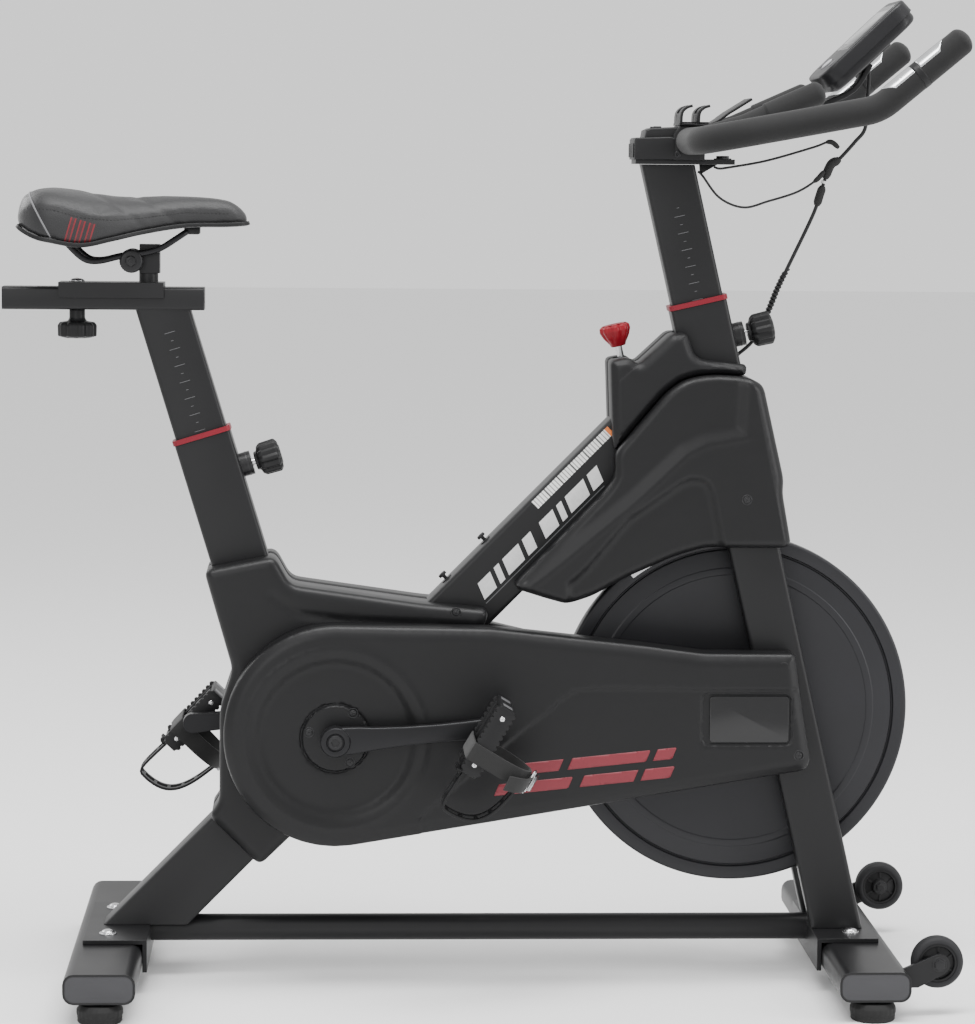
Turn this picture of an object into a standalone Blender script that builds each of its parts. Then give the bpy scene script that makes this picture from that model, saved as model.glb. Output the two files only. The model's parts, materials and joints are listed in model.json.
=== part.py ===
"""Indoor spin bike: welded steel frame, belt-driven flywheel, adjustable saddle and handlebar.

Metres, +Z up, +X is the rider's forward direction, and -Y is the drive side.
The origin is on the floor under the middle of the bike.
"""
import bpy
import bmesh
from math import asin, atan2, cos, hypot, pi, radians, sin, sqrt, tan
from mathutils import Matrix, Vector

# ---------------------------------------------------------------- driving dimensions
GAP = 0.0003                    # working gap between pieces that touch
SLIP = 0.0005                   # clearance of a piece that slides in another
ORIGIN_X = -0.1615              # bottom bracket from the middle of the bike

# overall layout
WHEELBASE = 0.860               # between the two stabilisers
STABILISER_LENGTH = 0.500
BRACKET_AHEAD = 0.2595          # bottom bracket ahead of the rear stabiliser
BRACKET_HEIGHT = 0.293
BEAM_ANGLE = radians(45.4)
SEAT_ANGLE = radians(17.0)      # from upright
HEAD_ANGLE = radians(13.1)      # from upright
BEAM_BELOW_BRACKET = 0.0057
SEAT_BEHIND_BRACKET = 0.051     # seat tube axis, at bracket height
HEAD_SETBACK = 0.0148           # head axis behind the front stabiliser, at the floor plates

# steel sections
STEEL_WALL = 0.0025
BEAM_DEPTH, BEAM_WIDTH = 0.070, 0.050
POST_DEPTH, POST_WIDTH = 0.060, 0.036
LEG_DEPTH, LEG_WIDTH = 0.058, 0.025
LEG_INSIDE = 0.0275             # from the middle plane to a fork leg
RAIL_RADIUS = 0.0155
RAIL_HEIGHT = 0.0545
STABILISER_DEPTH, STABILISER_HEIGHT = 0.080, 0.034
STABILISER_BOTTOM = 0.023
PLATE_THICKNESS = 0.005
PLATE_HALF_WIDTH = 0.105
CORNER = 0.005                  # outer corner radius of the box sections

# feet and transport wheels
FOOT_RADIUS = 0.026
FOOT_INSET = 0.020              # foot centre in from the stabiliser's end
FOOT_STUD_RADIUS = 0.005
WHEEL_RADIUS = 0.0295
WHEEL_WIDTH = 0.022
WHEEL_AHEAD = 0.0755            # wheel centre ahead of the front stabiliser
WHEEL_HEIGHT = 0.059
WHEEL_INSET = 0.045             # wheel centre in from the stabiliser's end
WHEEL_PIN_RADIUS = 0.004

# drive
CRANK_LENGTH = 0.170
CRANK_RISE = radians(5.0)       # drive-side crank above level, at rest
CRANK_INSIDE = 0.104            # inner face of a crank arm from the middle plane
CRANK_THICKNESS = 0.014
SPINDLE_RADIUS = 0.0085
BRACKET_SHELL_RADIUS = 0.024
BRACKET_SHELL_HALF = 0.036
BEARING_RADIUS = 0.0185
CRANK_PULLEY_RADIUS = 0.095
WHEEL_PULLEY_RADIUS = 0.025
BELT_THICKNESS = 0.003
BELT_WIDTH = 0.014
BELT_PLANE = 0.070              # belt's mid plane from the middle plane
PEDAL_AXLE_RADIUS = 0.005
FLYWHEEL_RADIUS = 0.204
FLYWHEEL_THICKNESS = 0.024
FLYWHEEL_RIM = 0.0165
FLYWHEEL_OVER_RAIL = 0.0425     # rim above the base rail
FLYWHEEL_BEHIND_HEAD = 0.062    # axle behind the head axis, at axle height
AXLE_RADIUS = 0.010
DROPOUT_RADIUS = 0.022

# pedals
PEDAL_LENGTH = 0.088
PEDAL_WIDTH = 0.080
PEDAL_THICKNESS = 0.024
PEDAL_MIDDLE = 0.1645           # pedal's middle from the middle plane
PEDAL_HANG = {-1: radians(239.3), 1: radians(226.7)}     # by side, right and left
CLIP_HALF_WIDTH = 0.017
CLIP_PATH = [(0.0462, -0.012), (0.0462, -0.003), (0.052, -0.0035), (0.088, -0.004), (0.094, 0.006),
             (0.091, 0.028), (0.080, 0.043), (0.058, 0.053), (0.020, 0.060)]
STRAP_HALF_WIDTH = 0.011
STRAP_AHEAD = 0.0175            # strap's middle ahead of the pedal axle

# brake
ROD_SETBACK = 0.0996            # tension rod behind the head axis
ROD_RADIUS = 0.004
EAR_INSIDE = 0.021
BRAKE_PIN_RADIUS = 0.004
BRAKE_WEB_GAP = 0.020           # magnet bracket's web over the flywheel rim
MAGNET_REACH = 0.010            # how far the magnets come down over the rim

KNOB_BELOW_COLLAR = 0.0485
TENSION_KNOB_HEIGHT = 0.026
KNOB_BORE_DEPTH = 0.010
PUSH_GAP = 0.0014               # between the rod and the magnet bracket

# seat and handlebar posts, measured up their axes from the collars
SEAT_COLLAR_HEIGHT = 0.630
SEAT_POST_BELOW = 0.160
HEAD_COLLAR_HEIGHT = 0.7865
BAR_POST_BELOW = 0.150
CROWN_OVER_WHEEL = 0.028
CROWN_HEIGHT = 0.026
COLLAR_THICKNESS = 0.006
COLLAR_PROUD = 0.0015

# pull pins in their bosses
PIN_RADIUS = 0.004
BOSS_RADIUS = 0.014
BOSS_LENGTH = 0.013
PIN_BELOW_COLLAR = 0.044
KNOB_RADIUS = 0.0195
KNOB_LENGTH = 0.030
KNOB_STANDOFF = 0.006           # from the boss to the knob, where the pin shows

# saddle
SLIDER_HEIGHT = 0.790           # slider tube's middle
SLIDER_TALL, SLIDER_WIDE = 0.026, 0.040
SLIDER_REAR, SLIDER_FRONT = 0.1795, 0.0510      # from the seat axis at slider height
SLIDER_WALL = 0.002
SLIDE_REACH = 0.040             # saddle travel each way
CARRIAGE_BEHIND = 0.055         # carriage middle behind the seat axis
CARRIAGE_LENGTH = 0.120
CARRIAGE_WALL = 0.003
CARRIAGE_PLATE = 0.005
CARRIAGE_SKIRT = 0.012          # how far the carriage's sides come down the slider
BOLT_BEHIND = 0.095             # slider knob's bolt behind the seat axis
BOLT_RADIUS = 0.004
STEM_BEHIND = 0.013
STEM_RADIUS = 0.011
TILT_BEHIND, TILT_OVER_SLIDER = 0.032, 0.043
TILT_PIN_RADIUS = 0.003
LUG_RADIUS = 0.0118
LUG_HALF = 0.0118
CLAMP_DISC_RADIUS = 0.0138
CLAMP_DISC_OUTSIDE = 0.028
SADDLE_LENGTH = 0.266
SADDLE_HALF_WIDTH = 0.084
RAIL_WIRE_RADIUS = 0.0035

# distance ahead of the tilt pin, half width, and top and bottom over the pin
SADDLE_STATIONS = ((-0.130, 0.048, 0.060, 0.043), (-0.117, 0.070, 0.081, 0.033),
                   (-0.088, 0.084, 0.0835, 0.024), (-0.053, 0.083, 0.077, 0.018),
                   (-0.018, 0.070, 0.072, 0.025), (0.017, 0.049, 0.073, 0.033),
                   (0.062, 0.031, 0.0755, 0.040), (0.107, 0.024, 0.073, 0.041),
                   (0.128, 0.018, 0.063, 0.042), (0.137, 0.008, 0.050, 0.043))
RECESS_INSET = 0.014
RECESS_TOP = 0.0438             # over the tilt pin
SHELL_THICKNESS = 0.004

# handlebar
BAR_AHEAD = 0.0286              # bar's cross tube ahead of the head axis
BAR_RADIUS = 0.0155
BAR_HALF_WIDTH = 0.200
BAR_HEIGHT = 0.9745
HORN_RADIUS = 0.014
HORN_OFFSET = 0.055

# handlebar mount and console
MOUNT_BOTTOM = 0.0265           # under the bar's middle
MOUNT_PLATE = 0.006
MOUNT_TOP = 0.0175
MOUNT_REAR, MOUNT_FRONT = 0.063, 0.018
MOUNT_HALF_WIDTH = 0.034
CONSOLE_ANGLE = radians(43.5)
CONSOLE_LENGTH, CONSOLE_WIDTH, CONSOLE_THICKNESS = 0.130, 0.124, 0.028
CONSOLE_AHEAD, CONSOLE_RISE = 0.2015, 0.1085
BUTTON_RADIUS = 0.008
BUTTON_DEPTH = 0.004
BUTTON_PROUD = 0.002
BUTTON_DOWN = 0.042             # below the console's middle, along its face

# cable routes, ahead of the bar's cross tube, across, and over it
CONSOLE_CABLE_RADIUS = 0.0022
PULSE_WIRE_RADIUS = 0.0014
CONSOLE_CABLE = ((0.2076, 0.025, 0.0937), (0.2125, 0.025, 0.0885), (0.2140, 0.025, 0.0760),
                 (0.2130, 0.025, 0.0550), (0.2110, 0.025, 0.0180), (0.1990, 0.025, 0.0010),
                 (0.1810, 0.025, -0.0190), (0.1705, 0.025, -0.0270), (0.1600, 0.025, -0.0580),
                 (0.1510, 0.025, -0.0850), (0.1230, 0.025, -0.1450), (0.1110, 0.025, -0.1710),
                 (0.1000, 0.025, -0.1990), (0.0840, 0.025, -0.2300), (0.0660, 0.025, -0.2470),
                 (0.0600, 0.025, -0.2530))
PULSE_WIRE_UPPER = ((0.0330, 0.006, -0.0290), (0.0390, 0.007, -0.0310), (0.0530, 0.010, -0.0292),
                    (0.0960, 0.015, -0.0212), (0.1500, 0.019, -0.0055), (0.1690, 0.021, 0.0010),
                    (0.1800, 0.021, -0.0060))
PULSE_WIRE_LOWER = ((0.0128, -0.008, -0.0345), (0.0180, -0.008, -0.0390), (0.0390, -0.002, -0.0645),
                    (0.0680, 0.006, -0.0755), (0.0980, 0.013, -0.0680), (0.1310, 0.017, -0.0575),
                    (0.1530, 0.019, -0.0440), (0.1630, 0.020, -0.0330))

# covers
COVER_WALL = 0.003
FRAME_COVER_HALF = 0.056
GUARD_BACK = 0.058
GUARD_FACE = 0.096
SHROUD_HALF = 0.066
HEAD_COVER_HALF = 0.050
GUARD_RADIUS = 0.128
LEFT_GUARD_DROP = 0.025
SLOT_HALF_WIDTH = 0.0225        # shroud's slot over the flywheel and the magnet bracket

# ---------------------------------------------------------------- layout worked out from the above
X_BB, Z_BB = ORIGIN_X, BRACKET_HEIGHT
X_REAR = X_BB - BRACKET_AHEAD
X_FRONT = X_REAR + WHEELBASE
STABILISER_TOP = STABILISER_BOTTOM + STABILISER_HEIGHT
PLATE_TOP = STABILISER_TOP + GAP + PLATE_THICKNESS
FOOT_Y = STABILISER_LENGTH / 2 - FOOT_INSET
WHEEL_Y = STABILISER_LENGTH / 2 - WHEEL_INSET
WHEEL_X = X_FRONT + WHEEL_AHEAD
TUBE_DEPTH = POST_DEPTH + 2 * (STEEL_WALL + SLIP)
TUBE_WIDTH = POST_WIDTH + 2 * (STEEL_WALL + SLIP)
LEG_OUTSIDE = LEG_INSIDE + LEG_WIDTH
RIGHT, LEFT = -1, 1
SIDES = (("right", RIGHT), ("left", LEFT))


class Axis:
    """A straight line in the side view; at(up, off) is a point on it or beside it."""

    def __init__(self, x, z, angle_from_level):
        self.x, self.z = x, z
        self.ux, self.uz = cos(angle_from_level), sin(angle_from_level)

    def at(self, up, off=0.0):
        """off is to the right of the upward direction, seen from the drive side."""
        return (self.x + up * self.ux + off * self.uz, self.z + up * self.uz - off * self.ux)

    def up_to(self, z):
        return (z - self.z) / self.uz

    def x_at(self, z, off=0.0):
        base = self.at(0, off)
        return base[0] + (z - base[1]) * self.ux / self.uz

    def z_at(self, x, off=0.0):
        base = self.at(0, off)
        return base[1] + (x - base[0]) * self.uz / self.ux

    def turn(self):
        """Turns local +Z onto the line."""
        return Matrix.Rotation(pi / 2 - atan2(self.uz, self.ux), 4, "Y")


BEAM = Axis(X_BB + BEAM_BELOW_BRACKET * sin(BEAM_ANGLE),
            Z_BB - BEAM_BELOW_BRACKET * cos(BEAM_ANGLE), BEAM_ANGLE)
SEAT = Axis(X_BB - SEAT_BEHIND_BRACKET, Z_BB, pi / 2 + SEAT_ANGLE)
HEAD = Axis(X_FRONT - HEAD_SETBACK, PLATE_TOP, pi / 2 + HEAD_ANGLE)
Z_AXLE = RAIL_HEIGHT + RAIL_RADIUS + FLYWHEEL_OVER_RAIL + FLYWHEEL_RADIUS
X_AXLE = HEAD.x_at(Z_AXLE) - FLYWHEEL_BEHIND_HEAD
FLYWHEEL_TOP = Z_AXLE + FLYWHEEL_RADIUS
CROWN_BOTTOM = FLYWHEEL_TOP + CROWN_OVER_WHEEL
CROWN_TOP = CROWN_BOTTOM + CROWN_HEIGHT
SEAT_COLLAR_UP = SEAT.up_to(SEAT_COLLAR_HEIGHT)
HEAD_COLLAR_UP = HEAD.up_to(HEAD_COLLAR_HEIGHT)
ROD = Axis(*HEAD.at(0, -ROD_SETBACK), pi / 2 + HEAD_ANGLE)
X_SLIDER = SEAT.x_at(SLIDER_HEIGHT)
SLIDER_TOP = SLIDER_HEIGHT + SLIDER_TALL / 2
SLIDER_BOTTOM = SLIDER_HEIGHT - SLIDER_TALL / 2
X_TILT, Z_TILT = X_SLIDER - TILT_BEHIND, SLIDER_HEIGHT + TILT_OVER_SLIDER
X_BAR = HEAD.x_at(BAR_HEIGHT) + BAR_AHEAD


# ---------------------------------------------------------------- scene and finishes
def new_collection(name):
    made = bpy.data.collections.new(name)
    bpy.context.scene.collection.children.link(made)
    return made


for leftover in list(bpy.data.objects):
    bpy.data.objects.remove(leftover, do_unlink=True)
BIKE = new_collection("indoor_spin_bike")
CUTTERS = new_collection("cutters")


def finish(name, colour, roughness, metallic=0.0):
    look = bpy.data.materials.new(name)
    look.use_nodes = True
    shader = look.node_tree.nodes["Principled BSDF"]
    shader.inputs["Base Color"].default_value = (*colour, 1.0)
    shader.inputs["Roughness"].default_value = roughness
    shader.inputs["Metallic"].default_value = metallic
    look.diffuse_color = (*colour, 1.0)
    return look


BLACK_PAINT = (0.018, 0.018, 0.020)
CHARCOAL = (0.035, 0.035, 0.037)
RUBBER = (0.012, 0.012, 0.012)
STEEL = (0.60, 0.60, 0.62)
RED = (0.32, 0.012, 0.018)


def publish(name, mesh, colour, roughness=0.5, metallic=0.0, pivot=(0, 0, 0), turn=None):
    """Adds a mesh whose places are the world's as a named object with its origin at pivot."""
    place = Matrix.Translation(pivot)
    if turn is not None:
        place = place @ turn
    mesh.transform(place.inverted())
    mesh.name = name
    obj = bpy.data.objects.new(name, mesh)
    obj.matrix_world = place
    mesh.materials.clear()
    mesh.materials.append(finish(name + "_finish", colour, roughness, metallic))
    mesh.shade_smooth()
    mesh.set_sharp_from_angle(angle=radians(35))
    BIKE.objects.link(obj)
    return obj


def add_boolean(obj, tool, operation):
    tool.hide_render = True
    tool.display_type = "WIRE"
    step = obj.modifiers.new(operation.lower(), "BOOLEAN")
    step.operation = operation
    step.solver = "EXACT"
    step.object = tool
    return tool


def as_tool(mesh):
    tool = bpy.data.objects.new("tool", mesh)
    CUTTERS.objects.link(tool)
    return tool


def cut(obj, mesh):
    return add_boolean(obj, as_tool(mesh), "DIFFERENCE")


def join(obj, mesh):
    return add_boolean(obj, as_tool(mesh), "UNION")


# ---------------------------------------------------------------- shapes
def to_mesh(bm):
    bmesh.ops.recalc_face_normals(bm, faces=bm.faces)
    mesh = bpy.data.meshes.new("shape")
    bm.to_mesh(mesh)
    bm.free()
    return mesh


def prism(across, along_y, z0, z1, place=Matrix(), corner=0.0, steps=3):
    """A box in local X, Y and Z, its edges along Z rounded, put in place."""
    bm = bmesh.new()
    bmesh.ops.create_cube(bm, size=1.0)
    bmesh.ops.scale(bm, vec=(across, along_y, z1 - z0), verts=bm.verts)
    bmesh.ops.translate(bm, vec=(0, 0, (z0 + z1) / 2), verts=bm.verts)
    if corner:
        long_edges = [e for e in bm.edges if abs(e.verts[0].co.z - e.verts[1].co.z) > (z1 - z0) / 2]
        bmesh.ops.bevel(bm, geom=long_edges, offset=corner, segments=steps, profile=0.5,
                        affect="EDGES")
    bmesh.ops.transform(bm, matrix=place, verts=bm.verts)
    return to_mesh(bm)


def block(low, high):
    """A box from its lowest to its highest corner."""
    middle = [(a + b) / 2 for a, b in zip(low, high)]
    return prism(high[0] - low[0], high[1] - low[1], low[2] - middle[2], high[2] - middle[2],
                 Matrix.Translation(middle))


def rod(radius, start, end, sides=20, end_radius=None):
    """A cylinder or cone from start to end."""
    start, end = Vector(start), Vector(end)
    bm = bmesh.new()
    bmesh.ops.create_cone(bm, cap_ends=True, segments=sides, radius1=radius,
                          radius2=radius if end_radius is None else end_radius,
                          depth=(end - start).length)
    turn = Vector((0, 0, 1)).rotation_difference(end - start).to_matrix().to_4x4()
    bmesh.ops.transform(bm, matrix=Matrix.Translation((start + end) / 2) @ turn, verts=bm.verts)
    return to_mesh(bm)


def across(radius, centre, y0, y1, sides=20):
    """A cylinder across the bike, centre given as (x, z)."""
    return rod(radius, (centre[0], y0, centre[1]), (centre[0], y1, centre[1]), sides)


def bore(radius, sides=20):
    """Radius of a many-sided hole that a round piece of this radius fits."""
    return (radius + GAP) / cos(pi / sides)


def trim(mesh, point, normal):
    """Cuts off what lies on the normal's side of a plane, and closes the cut."""
    bm = bmesh.new()
    bm.from_mesh(mesh)
    bmesh.ops.bisect_plane(bm, geom=bm.verts[:] + bm.edges[:] + bm.faces[:], dist=1e-6,
                           plane_co=point, plane_no=normal, clear_outer=True)
    bmesh.ops.holes_fill(bm, edges=[e for e in bm.edges if e.is_boundary], sides=0)
    return to_mesh(bm)


def curve_mesh(curve):
    """The mesh that a curve makes, with its caps welded on."""
    obj = bpy.data.objects.new("curve", curve)
    BIKE.objects.link(obj)
    bpy.context.view_layer.update()
    mesh = bpy.data.meshes.new_from_object(obj.evaluated_get(bpy.context.evaluated_depsgraph_get()))
    bpy.data.objects.remove(obj)
    bpy.data.curves.remove(curve)
    bm = bmesh.new()
    bm.from_mesh(mesh)
    bmesh.ops.remove_doubles(bm, verts=bm.verts, dist=1e-5)
    return bm


def spline(curve, points, closed):
    line = curve.splines.new("POLY")
    line.points.add(len(points) - 1)
    for spot, point in zip(line.points, points):
        spot.co = (*point, 1.0)
    line.use_cyclic_u = closed


def wire(points, radius, resolution=2):
    """A round bar or cable along points, with closed ends."""
    curve = bpy.data.curves.new("wire", "CURVE")
    curve.dimensions = "3D"
    curve.bevel_depth = radius
    curve.bevel_resolution = resolution
    curve.use_fill_caps = True
    spline(curve, points, False)
    return to_mesh(curve_mesh(curve))


def flat(outline, holes, half):
    """A flat outline of (x, z) points in the side view, half thick each way from y = 0."""
    curve = bpy.data.curves.new("outline", "CURVE")
    curve.dimensions = "2D"
    curve.fill_mode = "BOTH" if half else "FRONT"
    curve.extrude = half
    for loop in (outline, *holes):
        spline(curve, [(x, z, 0.0) for x, z in loop], True)
    bm = curve_mesh(curve)
    bmesh.ops.transform(bm, matrix=Matrix.Rotation(pi / 2, 4, "X"), verts=bm.verts)
    return bm


def slab(outline, y0, y1, holes=()):
    """A plate of the outline between two distances across the bike."""
    bm = flat(outline, holes, abs(y1 - y0) / 2)
    bmesh.ops.translate(bm, vec=(0, (y0 + y1) / 2, 0), verts=bm.verts)
    return to_mesh(bm)


def pan(name, outline, face, open_edge, side, colour, roughness):
    """A moulded shell of the outline: a face at one distance, and a rim down to the open edge."""
    bm = flat(outline, (), 0.0)
    bmesh.ops.translate(bm, vec=(0, side * face, 0), verts=bm.verts)
    rim = bmesh.ops.extrude_edge_only(bm, edges=[e for e in bm.edges if e.is_boundary])
    moved = [g for g in rim["geom"] if isinstance(g, bmesh.types.BMVert)]
    bmesh.ops.translate(bm, vec=(0, side * (open_edge - face), 0), verts=moved)
    bmesh.ops.recalc_face_normals(bm, faces=bm.faces)
    flat_face = max(bm.faces, key=lambda f: f.calc_center_median().y * side)
    if flat_face.normal.y * side < 0:
        bmesh.ops.reverse_faces(bm, faces=bm.faces)
    mesh = bpy.data.meshes.new(name)
    bm.to_mesh(mesh)
    bm.free()
    obj = publish(name, mesh, colour, roughness)
    wall = obj.modifiers.new("wall", "SOLIDIFY")
    wall.thickness = COVER_WALL
    wall.offset = -1.0
    wall.use_even_offset = True
    return obj


def turned(name, profile, centre, axis, sides, colour, roughness=0.5, metallic=0.0):
    """A closed profile of (radius, height) points turned about an axis through centre."""
    bm = bmesh.new()
    spots = [bm.verts.new((r, 0.0, h)) for r, h in profile]
    hollow = min(r for r, h in profile) > 0
    for a, b in zip(spots, spots[1:] + spots[:1] if hollow else spots[1:]):
        bm.edges.new((a, b))
    mesh = bpy.data.meshes.new(name)
    bm.to_mesh(mesh)
    bm.free()
    obj = publish(name, mesh, colour, roughness, metallic)
    turn = Vector((0, 0, 1)).rotation_difference(Vector(axis)).to_matrix().to_4x4()
    obj.matrix_world = Matrix.Translation(centre) @ turn
    screw = obj.modifiers.new("turn", "SCREW")
    screw.steps = screw.render_steps = sides
    screw.use_merge_vertices = True
    screw.merge_threshold = 0.00002
    screw.use_normal_calculate = False
    return obj


def belt_line(centre_a, radius_a, centre_b, radius_b, steps=20):
    """The closed line round two circles, the first one the larger."""
    dx, dz = centre_b[0] - centre_a[0], centre_b[1] - centre_a[1]
    lean = atan2(dz, dx)
    wrap = pi / 2 + asin((radius_a - radius_b) / hypot(dx, dz)) * -1.0
    line = []
    for k in range(steps + 1):
        a = lean + wrap + (2 * pi - 2 * wrap) * k / steps
        line.append((centre_a[0] + radius_a * cos(a), centre_a[1] + radius_a * sin(a)))
    for k in range(steps // 2 + 1):
        a = lean - wrap + 2 * wrap * k / (steps // 2)
        line.append((centre_b[0] + radius_b * cos(a), centre_b[1] + radius_b * sin(a)))
    return line


def arc(centre, radius, start, end, steps):
    """Points on an arc in the side view, angles in degrees from forward."""
    angles = [radians(start + (end - start) * k / steps) for k in range(steps + 1)]
    return [(centre[0] + radius * cos(a), centre[1] + radius * sin(a)) for a in angles]


def filleted(points, radius, steps=6):
    """A path with each inner corner rounded to a radius."""
    points = [Vector(p) for p in points]
    path = [points[0]]
    for before, corner, after in zip(points, points[1:], points[2:]):
        u, v = (before - corner).normalized(), (after - corner).normalized()
        half = u.angle(v) / 2
        reach = radius / tan(half)
        middle = corner + (u + v).normalized() * (radius / sin(half))
        a, b = corner + u * reach - middle, corner + v * reach - middle
        for k in range(steps + 1):
            path.append(middle + slide(a, b, k / steps))
    path.append(points[-1])
    return path


def slide(a, b, share):
    """A point on the arc from a to b, both from the arc's centre."""
    angle = a.angle(b)
    return (a * sin((1 - share) * angle) + b * sin(share * angle)) / sin(angle)


def smoothed(points, per_span):
    """A smooth curve through the points (Catmull-Rom)."""
    points = [Vector(p) for p in points]
    ends = [points[0] * 2 - points[1]] + points + [points[-1] * 2 - points[-2]]
    path = []
    for p0, p1, p2, p3 in zip(ends, ends[1:], ends[2:], ends[3:]):
        for k in range(per_span):
            t = k / per_span
            path.append(0.5 * (2 * p1 + (p2 - p0) * t + (2 * p0 - 5 * p1 + 4 * p2 - p3) * t ** 2
                               + (3 * p1 - p0 - 3 * p2 + p3) * t ** 3))
    return path + [points[-1]]


def ribbon(path, thickness):
    """The outline of a strip of even thickness along a path in a plane."""
    left, right = [], []
    for i, (x, z) in enumerate(path):
        before, after = path[max(i - 1, 0)], path[min(i + 1, len(path) - 1)]
        dx, dz = after[0] - before[0], after[1] - before[1]
        nx, nz = -dz / hypot(dx, dz) * thickness / 2, dx / hypot(dx, dz) * thickness / 2
        left.append((x + nx, z + nz))
        right.append((x - nx, z - nz))
    return left + right[::-1]


def along(axis, y=0.0):
    """The place of a piece whose local Z is the axis, and local Y is across the bike."""
    return Matrix.Translation((axis.x, y, axis.z)) @ axis.turn()


def box_tube(name, axis, up0, up1, depth, width, wall, y=0.0, trims=(), roughness=0.42):
    """A steel box section along an axis, open at both ends, with its ends trimmed by planes."""
    outer = prism(depth, width, up0, up1, along(axis, y), CORNER)
    for point, normal in trims:
        outer = trim(outer, point, normal)
    obj = publish(name, outer, BLACK_PAINT, roughness, 0.3)
    cut(obj, prism(depth - 2 * wall, width - 2 * wall, up0 - 0.05, up1 + 0.05,
                   along(axis, y), CORNER - wall))
    return obj


# ---------------------------------------------------------------- floor parts
def stabiliser_shape(x, lengthen=0.0, thinner=0.0):
    place = Matrix.Translation((x, 0, STABILISER_BOTTOM + STABILISER_HEIGHT / 2))
    half = STABILISER_LENGTH / 2 + lengthen
    return prism(STABILISER_DEPTH - 2 * thinner, STABILISER_HEIGHT - 2 * thinner, -half, half,
                 place @ Matrix.Rotation(pi / 2, 4, "X"), 0.012 - thinner, 4)


def make_stabiliser(name, x):
    bar = publish(name, stabiliser_shape(x), BLACK_PAINT, 0.42, 0.3)
    cut(bar, stabiliser_shape(x, 0.02, STEEL_WALL))
    for label, side in SIDES:
        hole = bore(FOOT_STUD_RADIUS, 12)
        cut(bar, rod(hole, (x, side * FOOT_Y, 0.01), (x, side * FOOT_Y, STABILISER_BOTTOM + 0.01), 12))
    return bar


def make_wheel_arm(bar, side):
    """A plate on the front stabiliser, outside the wheel, with the wheel's pin."""
    y0 = WHEEL_Y + WHEEL_WIDTH / 2 + 0.001
    y1 = y0 + 0.005
    root = X_FRONT + STABILISER_DEPTH / 2 - 0.008
    z0, z1 = STABILISER_BOTTOM + 0.010, STABILISER_TOP - 0.004
    outline = [(root, z0), (X_FRONT + STABILISER_DEPTH / 2 + 0.012, z0)]
    outline += arc((WHEEL_X, WHEEL_HEIGHT), 0.012, -60, 110, 8) + [(root, z1)]
    join(bar, slab(outline, side * y0, side * y1))
    join(bar, across(WHEEL_PIN_RADIUS, (WHEEL_X, WHEEL_HEIGHT), side * (y1 + 0.003),
                     side * (WHEEL_Y - WHEEL_WIDTH / 2 - 0.004), 16))


def make_floor_parts():
    make_stabiliser("rear_stabilizer", X_REAR)
    front = make_stabiliser("front_stabilizer", X_FRONT)
    for label, side in SIDES:
        make_wheel_arm(front, side)
        y = side * WHEEL_Y
        half = WHEEL_WIDTH / 2
        inner = bore(WHEEL_PIN_RADIUS, 16)
        turned("transport_wheel_" + label,
               [(inner, half - 0.002), (0.010, half), (0.017, half - 0.003), (0.0255, half - 0.002),
                (WHEEL_RADIUS, half - 0.006), (WHEEL_RADIUS, 0.006 - half), (0.0255, 0.002 - half),
                (0.017, 0.003 - half), (0.010, -half), (inner, 0.002 - half)],
               (WHEEL_X, y, WHEEL_HEIGHT), (0, -1, 0), 32, RUBBER, 0.7)
        for end, x in (("front", X_FRONT), ("rear", X_REAR)):
            top = STABILISER_BOTTOM - GAP
            turned(f"foot_{end}_{label}",
                   [(0, top + 0.012), (FOOT_STUD_RADIUS, top + 0.012), (FOOT_STUD_RADIUS, top),
                    (FOOT_RADIUS - 0.004, top), (FOOT_RADIUS, top - 0.007),
                    (FOOT_RADIUS - 0.001, 0.001), (FOOT_RADIUS - 0.002, 0), (0, 0)],
                   (x, side * FOOT_Y, 0), (0, 0, 1), 24, RUBBER, 0.75)


# ---------------------------------------------------------------- frame
def lip_plate(x, length, lip_side):
    """The plate on a stabiliser: flat on top, with a lip down the face towards the base rail."""
    base, edge = STABILISER_TOP + GAP, STABILISER_DEPTH / 2 + GAP
    low = STABILISER_BOTTOM + 0.002
    far = edge + PLATE_THICKNESS
    outline = [(-length, base), (edge, base), (edge, low), (far, low), (far, PLATE_TOP), (-length, PLATE_TOP)]
    return slab([(x + lip_side * ahead, z) for ahead, z in outline], -PLATE_HALF_WIDTH, PLATE_HALF_WIDTH)


def make_base_rail():
    reach = STABILISER_DEPTH / 2 + 0.002
    rail = publish("base_rail", rod(RAIL_RADIUS, (X_REAR + reach, 0, RAIL_HEIGHT),
                                    (X_FRONT - reach, 0, RAIL_HEIGHT), 28), BLACK_PAINT, 0.42, 0.3)
    join(rail, lip_plate(X_REAR, 0.0275, 1))
    join(rail, lip_plate(X_FRONT, 0.0255, -1))


def make_beam():
    head_rear = HEAD.at(0, -(TUBE_DEPTH / 2 + GAP))
    foot = (0, 0, PLATE_TOP + GAP)
    top_up = (X_FRONT - X_BB) * 1.6
    beam = box_tube("main_beam", BEAM, -0.6, top_up, BEAM_DEPTH, BEAM_WIDTH, STEEL_WALL,
                    trims=((foot, (0, 0, -1)),
                           ((head_rear[0], 0, head_rear[1]), (HEAD.uz, 0, -HEAD.ux))))
    join(beam, across(BRACKET_SHELL_RADIUS, (X_BB, Z_BB), -BRACKET_SHELL_HALF, BRACKET_SHELL_HALF, 32))
    cut(beam, across(bore(BEARING_RADIUS, 32), (X_BB, Z_BB), -0.05, 0.05, 32))
    reach = STABILISER_DEPTH / 2
    cut(beam, rod(bore(RAIL_RADIUS, 28), (X_REAR + reach, 0, RAIL_HEIGHT), (X_BB, 0, RAIL_HEIGHT), 28))
    cut(beam, rod(ROD_RADIUS + 0.003, *rod_ends(0.3, 0.9), 16))
    return beam


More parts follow.
